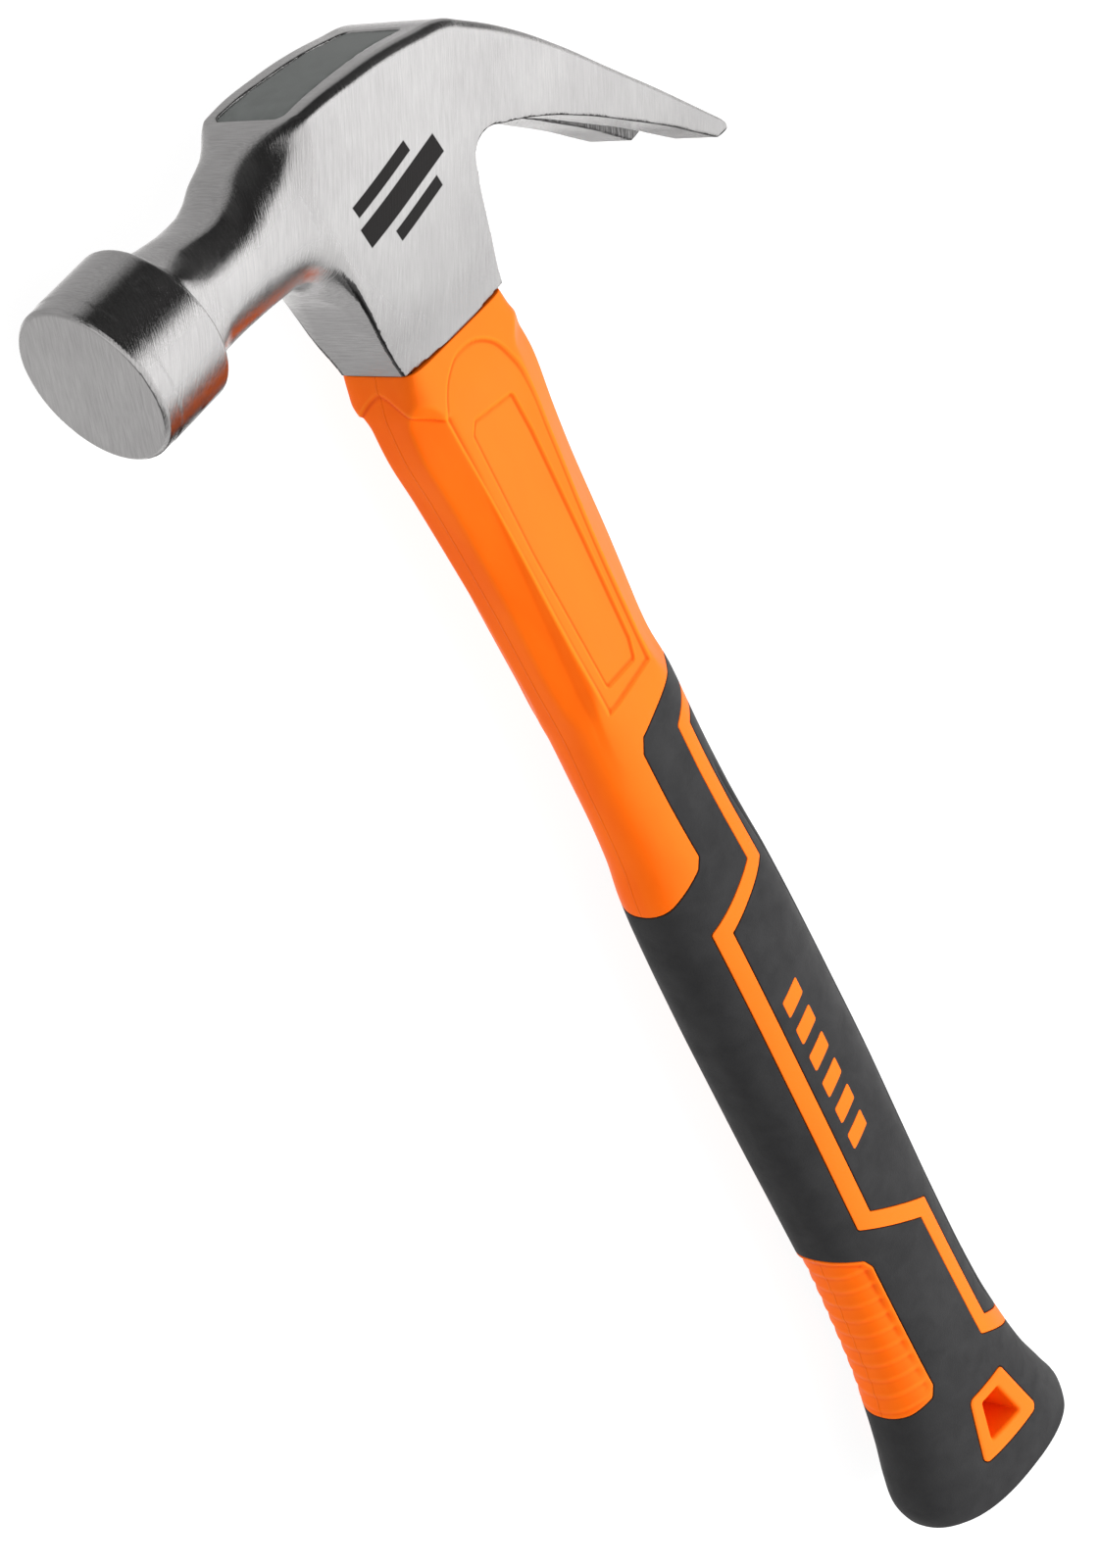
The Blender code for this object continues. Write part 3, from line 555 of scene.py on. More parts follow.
def make_head_function():
    """The forging's distance function: side view, cheeks, neck and bell, less eye and slot."""
    edge = bezier_outline(HEAD_OUTLINE)
    side = PlaneField(lambda x, y: outline_distance(edge, x, y), SIDE_LOW, SIDE_HIGH, SIDE_PITCH)
    upper_x, upper_y = zip(*UPPER_LINE)

    def head_distance(x, y, z):
        x, y, z = np.broadcast_arrays(x, y, z)
        cheek = np.abs(z) - cheek_half_width(x, y)
        cheek = round_common(cheek, x - TIP_X, TIP_CORNER)
        upper = ease(-3.0, 3.0, y - np.interp(x, upper_x, upper_y))
        along_claws = ease(20, 50, x)
        edge_radius = LOWER_EDGE + UPPER_EDGE * upper * (1 - CLAW_EDGE_FALL * along_claws)
        body = round_common(side(x, y), cheek, edge_radius)
        body = round_common(body, neck_distance(x, y, z), NECK_FILLET)
        solid = round_joined(body, bell_distance(x, y, z), NECK_FILLET)
        solid = round_common(solid, -eye_distance(x, y, z), EYE_EDGE)
        return round_common(solid, -slot_distance(x, z), SLOT_EDGE)

    return head_distance


def scale_and_slot_shade(points, normals):
    """Dark ragged scale along the cheek's edge in front and below the neck and claws, and painted
    shade on the slot's walls.
    """
    x, y, z = points.T
    from_cheek = cheek_half_width(x, y) - np.abs(z)
    band = ease(1.05, 0.35, from_cheek) * ease(-0.2, 0.1, from_cheek)
    on_socket = ease(-11.0, -13.0, x) * ease(-27.0, -25.0, x)
    on_neck = ease(-28.0, -25.0, x) * ease(-12.0, -14.0, x)
    on_claws = ease(15.0, 19.0, x)
    socket_front = ease(-0.45, -0.75, normals[:, 0]) * on_socket
    under_neck = ease(-0.4, -0.7, normals[:, 1]) * on_neck
    under_claws = 0.85 * ease(-0.35, -0.6, normals[:, 1]) * on_claws
    edges = band * np.maximum(socket_front, np.maximum(under_claws, under_neck))
    # painted shade: the slot's walls are coloured dark, as if in the near claw's shadow
    slot_wall_shade = SLOT_WALL_SHADE * ease(-0.5, -0.1, -slot_distance(x, z))
    return np.maximum(edges, slot_wall_shade)


def make_head(material):
    """The forging: grid cells on the zero level, settled onto the true surface."""
    distance = make_head_function()
    low = np.array(HEAD_GRID_LOW)
    axes = [np.arange(a, b + HEAD_PITCH, HEAD_PITCH) for a, b in zip(HEAD_GRID_LOW, HEAD_GRID_HIGH)]
    values = distance(axes[0][:, None, None], axes[1][None, :, None], axes[2][None, None, :])
    points, faces = surface_net(values, low, HEAD_PITCH)
    points, normals = settle(distance, points)
    piece = make_piece("head_forging", points, list(faces), normals, material)
    set_values(piece, "scale_and_slot_shade", scale_and_slot_shade(points, normals))
    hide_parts("head")
    return piece


def make_resin(material):
    """Cast resin in the eye: slightly sunk, its edge ragged where it meets the steel."""
    bm = bmesh.new()
    bmesh.ops.create_grid(bm, x_segments=110, y_segments=56, size=1.0)
    top = bm.faces[:]
    front, rear = EYE_CROWN["front"], EYE_CROWN["rear"]
    for vert in bm.verts:
        u, v = vert.co.x, vert.co.y
        x = (front + rear) / 2 + u * (rear - front) / 2
        share = (u + 1) / 2
        half = EYE_CROWN["half_front"] + (EYE_CROWN["half_rear"] - EYE_CROWN["half_front"]) * share
        ragged = 0.10 + 0.07 * math.sin(2.1 * x + 1.3 * v) + 0.05 * math.sin(5.3 * x)
        squeeze = 1 - max(abs(u), abs(v)) ** 12 * ragged / half
        z = v * half * squeeze
        rim = max(abs(u), abs(v)) ** 14
        crown = float(smooth_curve(CROWN_LINE, np.array([x]))[0])
        uneven = RESIN_UNEVEN * math.sin(0.5 * x + 0.4 * z)
        vert.co = (x, crown - RESIN_SINK - RESIN_RIM_DROP * rim + uneven, z)
    lowered = bmesh.ops.extrude_face_region(bm, geom=top)["geom"]
    for vert in (item for item in lowered if isinstance(item, bmesh.types.BMVert)):
        vert.co.y = RESIN_BOTTOM_Y
    bm.normal_update()
    bmesh.ops.recalc_face_normals(bm, faces=bm.faces)
    points = [tuple(vert.co) for vert in bm.verts]
    bm.verts.index_update()
    faces = [[vert.index for vert in face.verts] for face in bm.faces]
    bm.free()
    piece = make_piece("eye_resin_fill", points, faces, None, material)
    piece.data.set_sharp_from_angle(angle=math.radians(50))
    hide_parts("eye_resin")
    return piece


# ---- shapes on the handle's side
grip_area = shape(bezier_outline(GRIP_LINE, 8))
trace = shape(ribbon(TRACE_ROUTE, TRACE_WIDTH), 0.5)
behind_trace = shape(TRACE_ROUTE + [(60.0, -252.8), (60.0, -78.5)])
pad = shape(PAD_OUTLINE, 0.6)
bezel = shape(BEZEL_OUTLINE, 1.5)
hang_hole = shape(HOLE_OUTLINE, 1.0)
arch = shape(bezier_outline(ARCH_OUTLINE, 6))
panel = shape(PANEL_OUTLINE, 0.8)


def rubber(x, y):
    """The grip area less the windows that show the jacket."""
    windows = np.minimum(np.minimum(trace(x, y), pad(x, y)), bezel(x, y))
    return np.maximum(grip_area(x, y), -windows)


def main_rubber(x, y):
    """The rubber in front of the trace."""
    return np.maximum(rubber(x, y), -behind_trace(x, y))


def back_rubber(x, y):
    """The rubber behind the trace."""
    return np.maximum(rubber(x, y), behind_trace(x, y))


def plastic(x, y):
    """All that isn't rubber, less the hang hole."""
    body = np.maximum(-rubber(x, y), y - JACKET_TOP_Y)
    return np.maximum(body, -hang_hole(x, y))


def bars(x, y):
    """Row of plain slanted bars along the grip."""
    nearest = np.full(np.shape(x), 1e9)
    for index in range(BAR_COUNT):
        middle = BAR_FIRST_Y - index * BAR_PITCH
        lean = BAR_LEAN * (x - BAR_CENTRE_X)
        along = np.abs(y - middle - lean) - BAR_WIDTH / 2
        across = np.abs(x - BAR_CENTRE_X) - BAR_LENGTH / 2
        nearest = np.minimum(nearest, round_common(along, across, 0.4))
    return nearest


# ---- handle's skin
def facet_gauge(y, across, out, depth, edge_table, side, face_table):
    """How far a direction reaches past the slanted flat between side flat and narrow face."""
    edge = smooth_curve(edge_table, y)
    run = np.stack([depth - edge, smooth_curve(face_table, y) - side])
    normal = np.stack([-run[1], run[0]]) / np.hypot(*run)
    distance = normal[0] * edge + normal[1] * side + smooth_curve(FACET_RUNOUT, y)
    return np.maximum((normal[0] * across + normal[1] * out) / distance, 1e-3)


def skin_points(angle, y, shrink):
    """Points of the handle's plain skin, before its moulded details."""
    front, back, half, power = (smooth_curve(HANDLE_STATIONS, y, column)
                                for column in (1, 2, 3, 4))
    cosine, sine = np.cos(angle), np.sin(angle)
    depth = np.where(cosine > 0, back, front)
    side = smooth_curve(SIDE_FLAT, y)
    oval = ((np.abs(cosine) / depth) ** power + (np.abs(sine) / half) ** power) ** (1 / power)
    front_facet = facet_gauge(y, -cosine, np.abs(sine), front, FRONT_FLAT_EDGE, side, FRONT_FACE)
    back_facet = facet_gauge(y, cosine, np.abs(sine), back, BACK_FLAT_EDGE, side, BACK_FACE)
    flat = np.maximum(np.abs(sine) / side, 1e-3)
    total = sum(gauge**EDGE_SHARPNESS for gauge in (oval, front_facet, back_facet, flat))
    radius = shrink * total ** (-1 / EDGE_SHARPNESS)
    x, z = radius * cosine, radius * sine
    low = np.maximum(BUTT_SLANT_START_Y - y, 0.0) / (BUTT_SLANT_START_Y - BUTT_Y)
    return np.stack([x, y - BUTT_SLANT * np.minimum(low * 1.3, 1.0) * x, z], -1)


def grid_normals(points):
    """Outward directions of a grid of points, closed around its columns."""
    around = np.roll(points, -1, 1) - np.roll(points, 1, 1)
    down = np.gradient(points, axis=0)
    normals = np.cross(around, down)
    return normals / np.maximum(np.linalg.norm(normals, axis=2), 1e-9)[..., None]


def moulded_detail(points):
    """Height of the moulded details over the plain skin, in mm."""
    x, y, z = points[..., 0], points[..., 1], points[..., 2]
    out = np.abs(z)
    on_side = ease(6.0, 8.0, out)
    # the front face and its slants lie a step below the collar
    ridge = COLLAR_RIDGE_Y - COLLAR_RIDGE_DROP * np.clip(out / COLLAR_HALF_WIDTH, 0.0, 1.0) ** 1.4
    on_front = ease(-9.0, -10.6, x)
    below_collar = ease(0.0, 0.9, ridge - y)
    fading = 1 - ease(-70.0, -90.0, y)
    height = -COLLAR_STEP * below_collar * on_front * fading
    # two shallow fields on each side, one in the other
    height = height - ARCH_DEPTH * ease(0.35, -0.35, arch(x, y)) * on_side
    height = height - PANEL_DEPTH * ease(0.25, -0.25, panel(x, y)) * on_side
    # bowed ribs across the front pad, each with a slow rise and a quick fall
    run = y + RIB_BOW * (x - RIB_BOW_X) ** 2
    phase = np.mod(-run / RIB_PITCH, 1.0)
    rib = np.where(phase < RIB_CREST, (phase / RIB_CREST) ** 1.6, (1 - phase) / (1 - RIB_CREST))
    sunk = PAD_SINK * ease(-240.0, -203.0, y)
    in_pad = ease(-0.2, -1.5, pad(x, y))
    height = height - in_pad * (RIB_DEPTH * (1 - rib) + sunk)
    # groove along both edges of the grip's back
    seam = ease(8.0, 9.5, x) * ease(-96.0, -104.0, y) * ease(-240.0, -232.0, y)
    height = height - SEAM_DEPTH * seam * np.exp(-((out - SEAM_OUT) / SEAM_HALF_WIDTH) ** 2)
    return height + BEZEL_RISE * ease(0.0, -0.8, bezel(x, y))


def make_skin():
    """The handle's whole skin as a grid: points, outward directions and how much it bends."""
    ys = np.arange(SKIN_TOP_Y, BUTT_END_Y, -ROW_STEP)
    dome = np.cos(np.linspace(0, math.pi / 2, DOME_ROWS))
    dome[-1] = DOME_CLOSED
    row_y = np.concatenate([ys, BUTT_END_Y - BUTT_DOME * (1 - dome**BUTT_SQUARENESS)])
    shrink = np.concatenate([np.ones(len(ys)), dome])
    angles = 2 * math.pi * (np.arange(COLUMNS) + 0.5) / COLUMNS
    y, angle = np.meshgrid(row_y, angles, indexing="ij")
    plain = skin_points(angle, y, shrink[:, None])
    lifted = plain + grid_normals(plain) * moulded_detail(plain)[..., None]
    outward = grid_normals(lifted)
    return lifted, outward, edge_curvature(lifted, outward)


def edge_curvature(points, outward):
    """How strongly the skin bends at each point, per mm: positive on ridges, negative in grooves."""
    total = 0.0
    for axis in (0, 1):
        step = np.roll(points, -1, axis) - np.roll(points, 1, axis)
        turn = np.roll(outward, -1, axis) - np.roll(outward, 1, axis)
        total = total + (step * turn).sum(-1) / np.maximum((step**2).sum(-1), 0.05)
    total[:2] = total[-DOME_ROWS:] = 0.0
    return total


def skin_faces(inside, number, cut):
    """Faces of the kept part of the skin's grid, and the edges along its rim."""
    columns = inside.shape[1]
    right = np.roll(inside, -1, 1)
    kept = inside[:-1].astype(int) + right[:-1] + inside[1:] + right[1:]
    row, column = np.nonzero(kept == 4)
    beside = (column + 1) % columns
    faces = list(np.stack([number[row, column], number[row, beside],
                           number[row + 1, beside], number[row + 1, column]], 1))
    rim = []
    for row, column in np.argwhere((kept > 0) & (kept < 4)):
        beside = (column + 1) % columns
        corners = [(row, column), (row, beside), (row + 1, beside), (row + 1, column)]
        ring = []
        for index, here in enumerate(corners):
            ahead = corners[(index + 1) % 4]
            if inside[here]:
                ring.append(number[here])
            if inside[here] != inside[ahead]:
                if inside[here]:
                    leaving = len(ring)
                ring.append(cut(here, ahead))
        if len(ring) > 2:
            faces.append(ring)
        rim.append((ring[leaving], ring[(leaving + 1) % len(ring)]))
    return faces, rim


def part_skin(name, skin, region, roll, material, lift=0.0, hole=None):
    """Keep the skin where region < 0, roll its edges in and turn them down as a skirt."""
    grid, outward, bend = skin
    whole = np.concatenate([grid + outward * lift, outward, bend[..., None]], 2)
    value = region(whole[..., 0], whole[..., 1]) + roll + PART_GAP / 2
    inside = value < 0
    total = int(inside.sum())
    number = np.full(value.shape, -1)
    number[inside] = np.arange(total)
    cuts = {}

    def cut(a, b):
        """Number of the point where the edge between two grid points leaves the region."""
        return cuts.setdefault((a, b) if a < b else (b, a), total + len(cuts))

    faces, rim = skin_faces(inside, number, cut)
    first, second = (tuple(np.array(ends).T) for ends in zip(*cuts))
    share = (value[first] / (value[first] - value[second]))[:, None]
    edge = whole[first] + share * (whole[second] - whole[first])
    edge[:, 3:6] /= np.linalg.norm(edge[:, 3:6], axis=1)[:, None]
    outwards = edge_direction(region, edge[:, :3], edge[:, 3:6])
    rings = rolled_rings(edge[:, :3], edge[:, 3:6], outwards, roll, hole)
    size = len(edge)
    for level in range(len(rings)):
        for a, b in rim:
            faces.append([b + level * size, a + level * size,
                          a + (level + 1) * size, b + (level + 1) * size])
    kept = np.concatenate([whole[inside], edge])
    points = np.concatenate([kept[:, :3]] + [ring[0] for ring in rings])
    normals = np.concatenate([kept[:, 3:6]] + [ring[1] for ring in rings])
    piece = make_piece(name, points, faces, normals, material)
    # the bend drives painted shade in grooves and painted highlights on ridges
    on_skirts = np.full(size * len(rings), SKIRT_BEND)
    set_values(piece, "bend", np.concatenate([kept[:, 6], on_skirts]))
    return piece


def edge_direction(region, points, normals):
    """Direction along the skin that leads out of the region."""
    slope = gradient_at(lambda x, y, z: region(x, y), points, 0.05)
    slope -= (slope * normals).sum(1)[:, None] * normals
    return slope / np.maximum(np.linalg.norm(slope, axis=1), 1e-6)[:, None]


def rolled_rings(points, normals, outwards, roll, hole):
    """Rings that carry an edge round its roll and down its skirt, or through the hang hole."""
    rings = []
    through = np.zeros(len(points), bool)
    if hole is not None:
        through = hole(points[:, 0], points[:, 1]) < HOLE_REACH
    radius = np.where(through, HOLE_ROLL, roll)[:, None]
    for angle in np.radians([22.5, 45.0, 67.5, 90.0]):
        along, down = math.sin(angle), 1 - math.cos(angle)
        moved = points + outwards * radius * along - normals * radius * down
        rings.append((moved, normals * math.cos(angle) + outwards * math.sin(angle)))
    last, facing = rings[-1]
    for share in (0.5, 1.0):
        skirt = last - normals * SKIRT_DEPTH * share
        wall = last.copy()
        wall[:, 2] *= 1 - share
        wall[:, :2] += outwards[:, :2] * HOLE_TAPER * share
        rings.append((np.where(through[:, None], wall, skirt), facing))
    return rings


def make_handle(orange, charcoal):
    """The four mouldings that share the handle's skin."""
    skin = make_skin()
    jacket = part_skin("handle_jacket_moulding", skin, plastic, EDGE_ROLL, orange, hole=hang_hole)
    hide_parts("handle_jacket")
    grip = part_skin("grip_rubber", skin, main_rubber, EDGE_ROLL, charcoal)
    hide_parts("grip")
    back = part_skin("grip_back_rubber", skin, back_rubber, EDGE_ROLL, charcoal)
    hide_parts("grip_back_panel")
    row = part_skin("grip_bars", skin, bars, BAR_ROLL, orange, lift=BAR_LIFT)
    return [jacket, grip, back, row]


# ---- materials
class Nodes:
    """Short way to build a material's node tree."""

    def __init__(self, name):
        self.material = bpy.data.materials.new(name)
        self.material.use_nodes = True
        self.tree = self.material.node_tree
        self.shader = self.tree.nodes["Principled BSDF"]

    def add(self, kind, inputs=None, **settings):
        """A shader node with its settings made and its inputs plugged."""
        node = self.tree.nodes.new("ShaderNode" + kind)
        for key, value in settings.items():
            setattr(node, key, value)
        for key, value in (inputs or {}).items():
            self.plug(value, node.inputs[key])
        return node

    def plug(self, value, socket):
        """Link a socket to another node's output, or set it to a constant."""
        if isinstance(value, bpy.types.NodeSocket):
            self.tree.links.new(value, socket)
        else:
            socket.default_value = value

    def noise(self, vector, scale, detail=4.0, roughness=0.55, distortion=0.0):
        node = self.add("TexNoise", {"Vector": vector, "Scale": scale, "Detail": detail,
                                     "Roughness": roughness, "Distortion": distortion})
        return node.outputs["Fac"]

    def ramp(self, value, low, high, first=0.0, second=1.0):
        """`first` at `low` and `second` at `high`, straight between them and level outside."""
        node = self.add("MapRange", {"Value": value, "From Min": low, "From Max": high,
                                     "To Min": first, "To Max": second})
        return node.outputs["Result"]

    def math(self, operation, a, b=0.0):
        return self.add("Math", {0: a, 1: b}, operation=operation).outputs[0]

    def product(self, first, *others):
        for other in others:
            first = self.math("MULTIPLY", first, other)
        return first

    def mix(self, share, first, second):
        """Mix of two colours."""
        node = self.add("Mix", {0: share, 6: first, 7: second}, data_type="RGBA")
        return node.outputs[2]

    def blend(self, share, first, second):
        """Mix of two numbers."""
        return self.add("Mix", {0: share, 2: first, 3: second}, data_type="FLOAT").outputs[0]

    def bump(self, height, distance, strength=1.0, normal=None):
        inputs = {"Height": height, "Distance": distance, "Strength": strength}
        if normal is not None:
            inputs["Normal"] = normal
        return self.add("Bump", inputs).outputs["Normal"]

    def place(self, rotation=(0, 0, 0), scale=(1, 1, 1)):
        """Object coordinates, turned and stretched."""
        coordinates = self.add("TexCoord").outputs["Object"]
        turned = self.add("Mapping", {"Vector": coordinates, "Rotation": rotation}).outputs["Vector"]
        return self.add("Mapping", {"Vector": turned, "Scale": scale}).outputs["Vector"]

    def split(self, vector):
        """The X, Y and Z of a vector."""
        return self.add("SeparateXYZ", {0: vector}).outputs[:]

    def surface(self):
        """The X, Y and Z of the surface's world position, and those of its outward direction."""
        geometry = self.add("NewGeometry").outputs
        return self.split(geometry["Position"]), self.split(geometry["Normal"])

    def finish(self, **inputs):
        """Plug the shader's own inputs, named with underscores for spaces."""
        for key, value in inputs.items():
            self.plug(value, self.shader.inputs[key.replace("_", " ")])
        return self.material


def colour(red, green, blue):
    return (red, green, blue, 1.0)


def printed_bars(n, x, y, z):
    """Mask of the plain dark bars printed on the upper cheek."""
    cosine, sine = math.cos(PRINT_TILT), math.sin(PRINT_TILT)
    x = n.math("SUBTRACT", x, DATUM.x + PRINT_CENTRE[0] * MM)
    y = n.math("SUBTRACT", y, DATUM.y + PRINT_CENTRE[1] * MM)
    along = n.math("ADD", n.product(x, cosine), n.product(y, sine))
    across = n.math("SUBTRACT", n.product(y, cosine), n.product(x, sine))
    mask = 0.0
    for shift, rise, length, height in PRINT_BARS:
        within = 1.0
        for offset, middle, size in ((along, shift, length), (across, rise, height)):
            off = n.math("ABSOLUTE", n.math("SUBTRACT", offset, middle * MM))
            outer, inner = (size / 2 + PRINT_BLUR) * MM, (size / 2 - PRINT_BLUR) * MM
            within = n.product(n.ramp(off, outer, inner), within)
        mask = n.math("MAXIMUM", mask, within)
    return n.product(mask, n.math("GREATER_THAN", z, DATUM.z))


def steel_material():
    """Belt-ground steel: fine hairs along each surface's own grinding direction."""
    n = Nodes("brushed_steel")
    (x, y, z), (facing_x, _, facing_z) = n.surface()
    upwards = n.math("ABSOLUTE", facing_z)
    # hairs slanted on the cheeks, from side to side on narrow faces, steep on the striking face
    cheek_place = n.place(rotation=(0, 0, math.radians(-60)), scale=(200, 4600, 500))
    cheek_hairs = n.noise(cheek_place, 1.0, detail=5.0, roughness=0.7)
    cross_hairs = n.noise(n.place(scale=(4200, 4200, 200)), 1.0, detail=4.0, roughness=0.6)
    face_place = n.place(rotation=(math.radians(-25), 0, 0), scale=(3000, 190, 3200))
    face_hairs = n.noise(face_place, 1.0, detail=5.0)
    toward_poll = n.ramp(facing_x, -0.80, -0.93)
    face_x = FACE_X * MM + DATUM.x
    behind_face = n.ramp(x, face_x + 0.02, face_x + 0.025)
    hair = n.blend(n.ramp(upwards, 0.45, 0.30), cheek_hairs, cross_hairs)
    hair = n.blend(toward_poll, hair, n.blend(behind_face, face_hairs, cross_hairs))
    # painted shade, darker towards the socket's foot; darker where scale is left, and painted shade on
    # the slot's walls
    foot = n.ramp(y, DATUM.y + 0.026, DATUM.y, 1.0, 0.80)
    scale_and_shade = n.add("Attribute", attribute_name="scale_and_slot_shade").outputs["Fac"]
    ragged_scale_and_shade = n.math("ADD", scale_and_shade, n.ramp(hair, 0.3, 0.7, -0.25, 0.25))
    # the scale and the slot's painted shade darken the steel here
    scale = n.ramp(ragged_scale_and_shade, 0.35, 0.6, 1.0, 0.16)
    # the flat cheeks are brushed dull enough to scatter some of the light
    satin = n.ramp(upwards, 0.93, 0.99, 0.0, 0.30)
    darkened = n.math("SUBTRACT", 1.0, n.product(satin, 0.48))
    shade = n.product(n.ramp(hair, 0.3, 0.7, 0.84, 1.07), n.product(foot, scale), darkened)
    cloud = n.noise(n.place(), 90.0, detail=2.0)
    tone = n.mix(n.ramp(cloud, 0.35, 0.65), colour(0.62, 0.615, 0.615), colour(0.66, 0.657, 0.655))
    steel = n.add("VectorMath", {0: tone, "Scale": shade}, operation="SCALE").outputs[0]
    roughness = n.ramp(hair, 0.3, 0.7, 0.10, 0.19)
    ink = printed_bars(n, x, y, z)
    return n.finish(Base_Color=n.mix(ink, steel, colour(0.012, 0.011, 0.011)),
                    Metallic=n.math("SUBTRACT", 1.0, n.math("MAXIMUM", ink, satin)),
                    Roughness=n.math("MAXIMUM", roughness, n.product(ink, 0.55)),
                    Specular_IOR_Level=0.2, Normal=n.bump(hair, 0.00006))


def plastic_material():
    """Satin moulded polypropylene: faint flow marks, painted light on its flats, painted shade in
    grooves, painted highlights on ridges, a parting line.
    """
    n = Nodes("orange_polypropylene")
    (_, _, z), (_, _, facing_z) = n.surface()
    flow = n.noise(n.place(scale=(1.0, 0.35, 1.0)), 130.0, detail=3.0)
    tone = n.mix(n.ramp(flow, 0.35, 0.65), colour(0.96, 0.132, 0.001), colour(1.0, 0.154, 0.002))
    # painted light: the side flats are coloured lighter than the slanted and narrow faces, as if lit
    # from above
    flat = n.ramp(n.math("ABSOLUTE", facing_z), 0.60, 0.97, 0.0, 0.62)
    tone = n.mix(flat, tone, colour(1.0, 0.200, 0.021))
    bend = n.add("Attribute", attribute_name="bend").outputs["Fac"]
    # painted shade in grooves and painted highlight on ridges, from how the skin bends
    groove_shade = n.ramp(bend, -0.05, -0.9, 0.0, 0.65)
    ridge_highlight = n.ramp(bend, 0.30, 1.6, 0.0, 0.55)
    tone = n.mix(groove_shade, tone, colour(0.75, 0.06, 0.0))
    tone = n.mix(ridge_highlight, tone, colour(1.0, 0.26, 0.015))
    off_plane = n.math("ABSOLUTE", n.math("SUBTRACT", z, DATUM.z))
    flash = n.ramp(off_plane, 0.00025, 0.0)
    grain = n.noise(n.place(), 2600.0, detail=2.0)
    normal = n.bump(flash, 0.00012, 1.0, n.bump(grain, 0.00002, 0.5))
    roughness = n.ramp(flow, 0.3, 0.7, 0.36, 0.46)
    return n.finish(Base_Color=tone, Roughness=roughness, Normal=normal, Specular_IOR_Level=0.06)


def rubber_material():
    """Matte charcoal elastomer, mottled by handling, with painted shade in its grooves."""
    n = Nodes("charcoal_elastomer")
    mottle = n.noise(n.place(), 230.0, detail=6.0, roughness=0.6, distortion=0.4)
    patches = n.noise(n.place(), 60.0, detail=2.0)
    mixed = n.math("ADD", n.product(mottle, 0.6), n.product(patches, 0.4))
    tone = n.mix(n.ramp(mixed, 0.35, 0.65), colour(0.021, 0.021, 0.022), colour(0.029, 0.029, 0.030))
    bend = n.add("Attribute", attribute_name="bend").outputs["Fac"]
    # painted shade: grooves are coloured nearly black
    groove_shade = n.ramp(bend, -0.10, -0.8, 0.0, 0.7)
    tone = n.mix(groove_shade, tone, colour(0.008, 0.008, 0.008))
    roughness = n.ramp(mixed, 0.3, 0.7, 0.62, 0.5)
    normal = n.bump(n.noise(n.place(), 2400.0, detail=3.0), 0.00004, 0.6)
    return n.finish(Base_Color=tone, Roughness=roughness, Normal=normal, Specular_IOR_Level=0.22)


def resin_material():
    """Dull grey cast resin with fine specks."""
    n = Nodes("cast_resin")
    cloud = n.noise(n.place(), 420.0, detail=5.0)
    speck = n.noise(n.place(), 3200.0, detail=2.0)
    tone = n.mix(n.ramp(cloud, 0.3, 0.7), colour(0.105, 0.115, 0.110), colour(0.150, 0.163, 0.157))
    normal = n.bump(speck, 0.00005, 0.6)
    return n.finish(Base_Color=tone, Roughness=n.ramp(cloud, 0.3, 0.7, 0.38, 0.5), Normal=normal)


def fibre_material():
    """Pultruded rod with strands along its length."""
    n = Nodes("pultruded_glass_fibre")
    strands = n.noise(n.place(scale=(1.0, 0.02, 1.0)), 3000.0, detail=4.0)
    tone = n.mix(n.ramp(strands, 0.3, 0.7), colour(0.50, 0.45, 0.24), colour(0.72, 0.68, 0.46))
    normal = n.bump(strands, 0.00005, 0.7)
    return n.finish(Base_Color=tone, Roughness=n.ramp(strands, 0.3, 0.7, 0.4, 0.6), Normal=normal)


def floor_material():
    """Pale floor that glows a little, so that it stays white beside the bright steel."""
    n = Nodes("pale_floor")
    tone = n.mix(n.noise(n.place(), 3.0), colour(0.19, 0.19, 0.19), colour(0.20, 0.20, 0.20))
    return n.finish(Base_Color=tone, Roughness=0.9,
                    Emission_Color=colour(1, 1, 1), Emission_Strength=FLOOR_GLOW)


# ---- studio
def make_world():
    """Even soft light from everywhere."""
    world = bpy.data.worlds.new("studio")
    bpy.context.scene.world = world
    world.use_nodes = True
    background = world.node_tree.nodes["Background"]
    background.inputs["Color"].default_value = colour(1, 1, 1)
    background.inputs["Strength"].default_value = WORLD_LIGHT


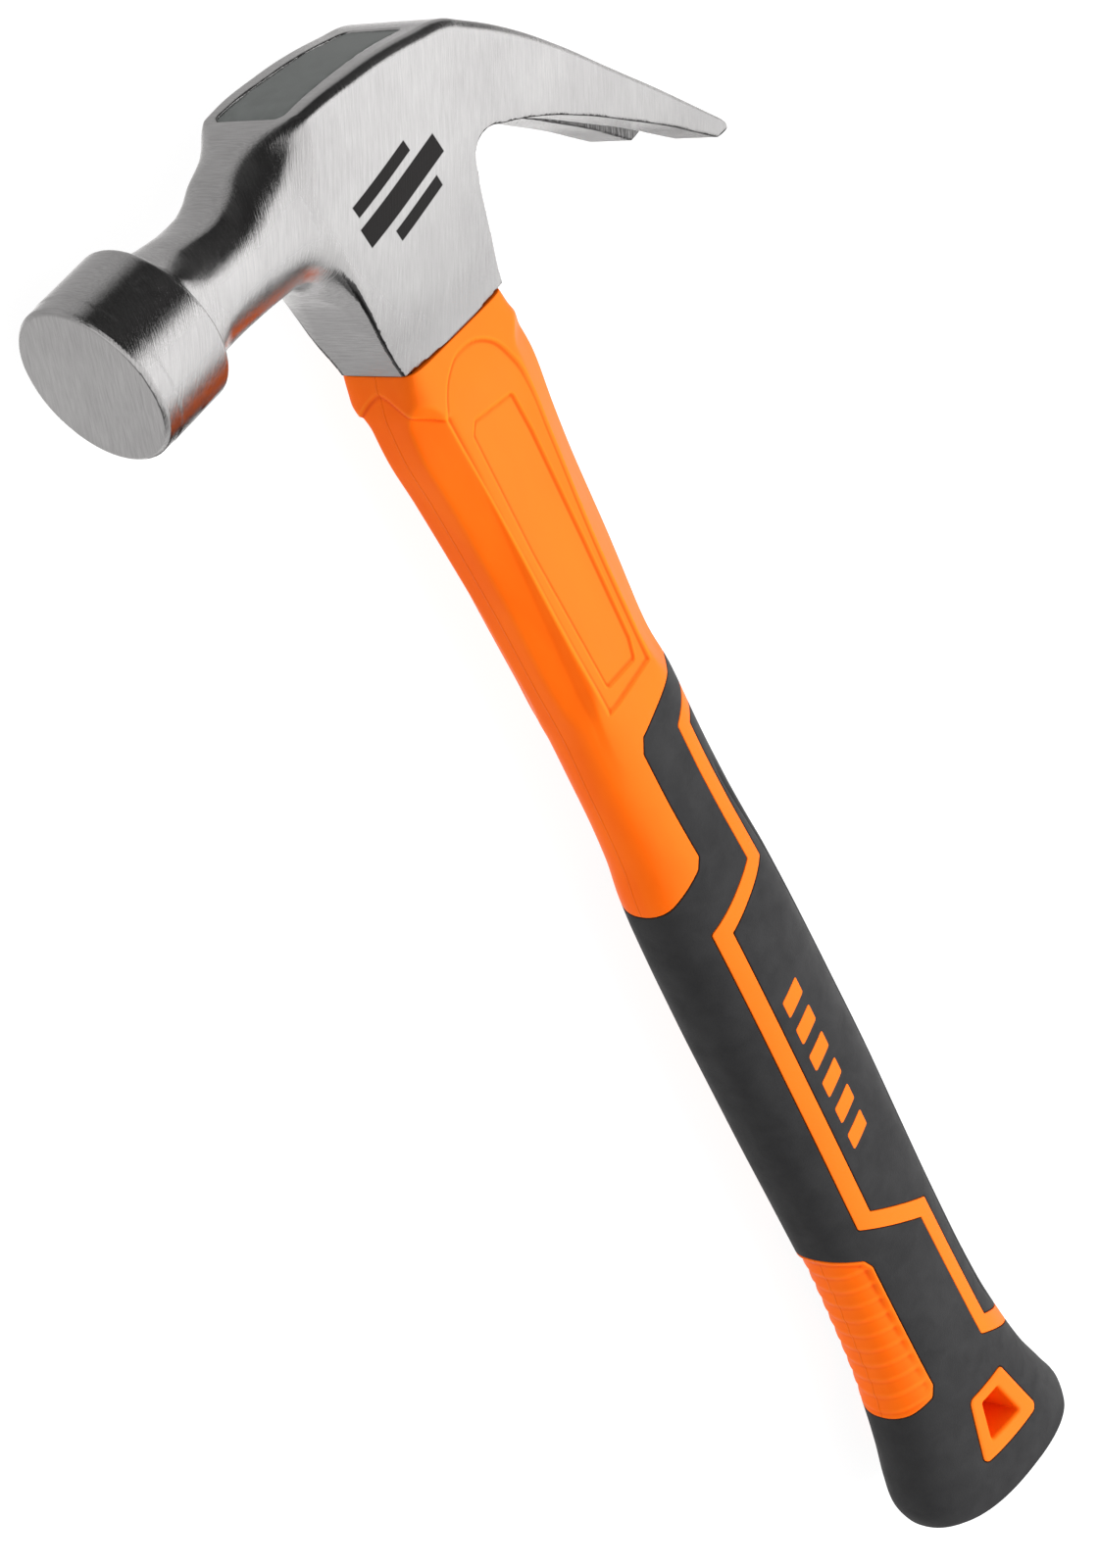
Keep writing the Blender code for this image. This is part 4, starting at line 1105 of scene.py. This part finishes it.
def card_material():
    """What polished metal sees: white cards on the hand's side, black ones behind, grey below."""
    n = Nodes("reflection_cards")
    place = n.split(n.add("TexCoord").outputs["Object"])
    x, y, z = (n.math("DIVIDE", value, DOME_RADIUS) for value in place)
    # white cards, brightest overhead and beside the claws, dimmed low by the face
    overhead = n.product(n.ramp(z, 0.40, 0.86), n.ramp(x, 0.18, 0.50, 0.25, 1.0))
    beside_claws = n.product(n.ramp(x, 0.62, 0.80), n.ramp(y, 0.05, -0.1))
    brightest = n.math("MAXIMUM", overhead, n.product(beside_claws, 0.6))
    white = n.ramp(brightest, 0.0, 1.0, CARD_DIM, CARD_BRIGHT)
    low_by_face = n.product(n.ramp(x, -0.15, -0.5), n.ramp(z, 0.45, 0.33), n.ramp(y, 0.1, -0.2))
    white = n.product(white, n.ramp(low_by_face, 0.0, 1.0, 1.0, 0.15))
    # black cards behind the crown, with dim gaps low between them
    lean = n.product(n.ramp(z, 0.5, 0.9), 0.16)
    behind = n.product(n.ramp(n.math("SUBTRACT", y, lean), 0.05, 0.13), n.ramp(x, -0.78, -0.68))
    level = n.math("SQRT", n.math("ADD", n.product(x, x), n.product(y, y)))
    bearing = n.math("DIVIDE", x, n.math("MAXIMUM", level, 0.01))
    middle_gap = n.ramp(n.math("ABSOLUTE", bearing), 0.26, 0.14)
    gaps = n.product(n.math("MAXIMUM", n.ramp(bearing, 0.66, 0.76), middle_gap), n.ramp(z, 0.70, 0.50))
    ceiling = n.blend(behind, white, n.ramp(gaps, 0.0, 1.0, CARD_BLACK, CARD_WINDOW))
    # grey ground, brighter under the claws
    ground = n.ramp(y, -0.4, 0.5, GROUND_POLL, GROUND_BACK)
    claw_side = n.product(n.ramp(x, -0.1, 0.05), n.ramp(y, 0.0, -0.15))
    ground = n.blend(claw_side, ground, GROUND_CLAW)
    strength = n.blend(n.ramp(z, -0.34, -0.06), ground, ceiling)
    # one black strip, low beyond the butt on the claws' side
    strip = n.product(n.ramp(x, 0.72, 0.66), n.ramp(x, 0.10, 0.20),
                      n.ramp(z, 0.36, 0.24), n.ramp(y, -0.55, -0.64))
    strength = n.blend(strip, strength, CARD_BLACK)
    n.tree.nodes.remove(n.shader)
    glow = n.add("Emission", {"Color": colour(1.0, 0.985, 0.98), "Strength": strength})
    n.tree.links.new(glow.outputs[0], n.tree.nodes["Material Output"].inputs["Surface"])
    return n.material


def make_cards():
    """Reflector cards all round, seen only in the shine of the object."""
    bm = bmesh.new()
    bmesh.ops.create_icosphere(bm, subdivisions=4, radius=DOME_RADIUS)
    cards = add_simple("reflector_cards", bm, card_material())
    for rays in ("camera", "diffuse", "shadow", "transmission", "volume_scatter"):
        setattr(cards, "visible_" + rays, False)
    cards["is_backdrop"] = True


def make_stage():
    """The floor under the hammer and the one soft lamp over it."""
    bm = bmesh.new()
    bmesh.ops.create_grid(bm, x_segments=8, y_segments=8, size=FLOOR_HALF_SIZE)
    floor = add_simple("floor", bm, floor_material())
    floor.location = (0.0, 0.0, CAD_BOX[0].z - FLOOR_GAP)
    floor.visible_glossy = False
    floor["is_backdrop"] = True
    light = bpy.data.lights.new("key", "AREA")
    light.shape = "DISK"
    light.size = KEY_SIZE
    light.energy = KEY_ENERGY
    lamp = add_object("key", light)
    lamp.location = (CAD_BOX[0] + CAD_BOX[1]) / 2 + KEY_OFFSET
    lamp.rotation_euler = (-KEY_OFFSET).to_track_quat("-Z", "Y").to_euler()
    lamp.visible_glossy = False


def make_camera():
    """Camera at the angle and distance that the hammer is looked at from."""
    data = bpy.data.cameras.new("camera")
    data.lens = LENS
    data.sensor_width = SENSOR_WIDTH
    camera = add_object("camera", data)
    right = CAMERA_UP.cross(CAMERA_BACK).normalized()
    up = CAMERA_BACK.cross(right).normalized()
    turn = Matrix((right, up, CAMERA_BACK.normalized())).transposed().to_4x4()
    camera.matrix_world = Matrix.Translation(DATUM + CAMERA_FROM_DATUM) @ turn
    bpy.context.scene.camera = camera


# ---- build
bpy.context.scene.view_settings.view_transform = "Standard"
make_camera()
make_world()
make_cards()
make_stage()
steel = steel_material()
orange = plastic_material()
charcoal = rubber_material()
pieces = [make_head(steel), make_resin(resin_material())] + make_handle(orange, charcoal)
for piece in pieces:
    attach(piece, "root")

# the rod is hidden inside and keeps the CAD's own shape
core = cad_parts["fibreglass_core"]
core.data.materials.clear()
core.data.materials.append(fibre_material())

[[list(corner) for corner in box] for box in (CAD_BOX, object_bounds())]
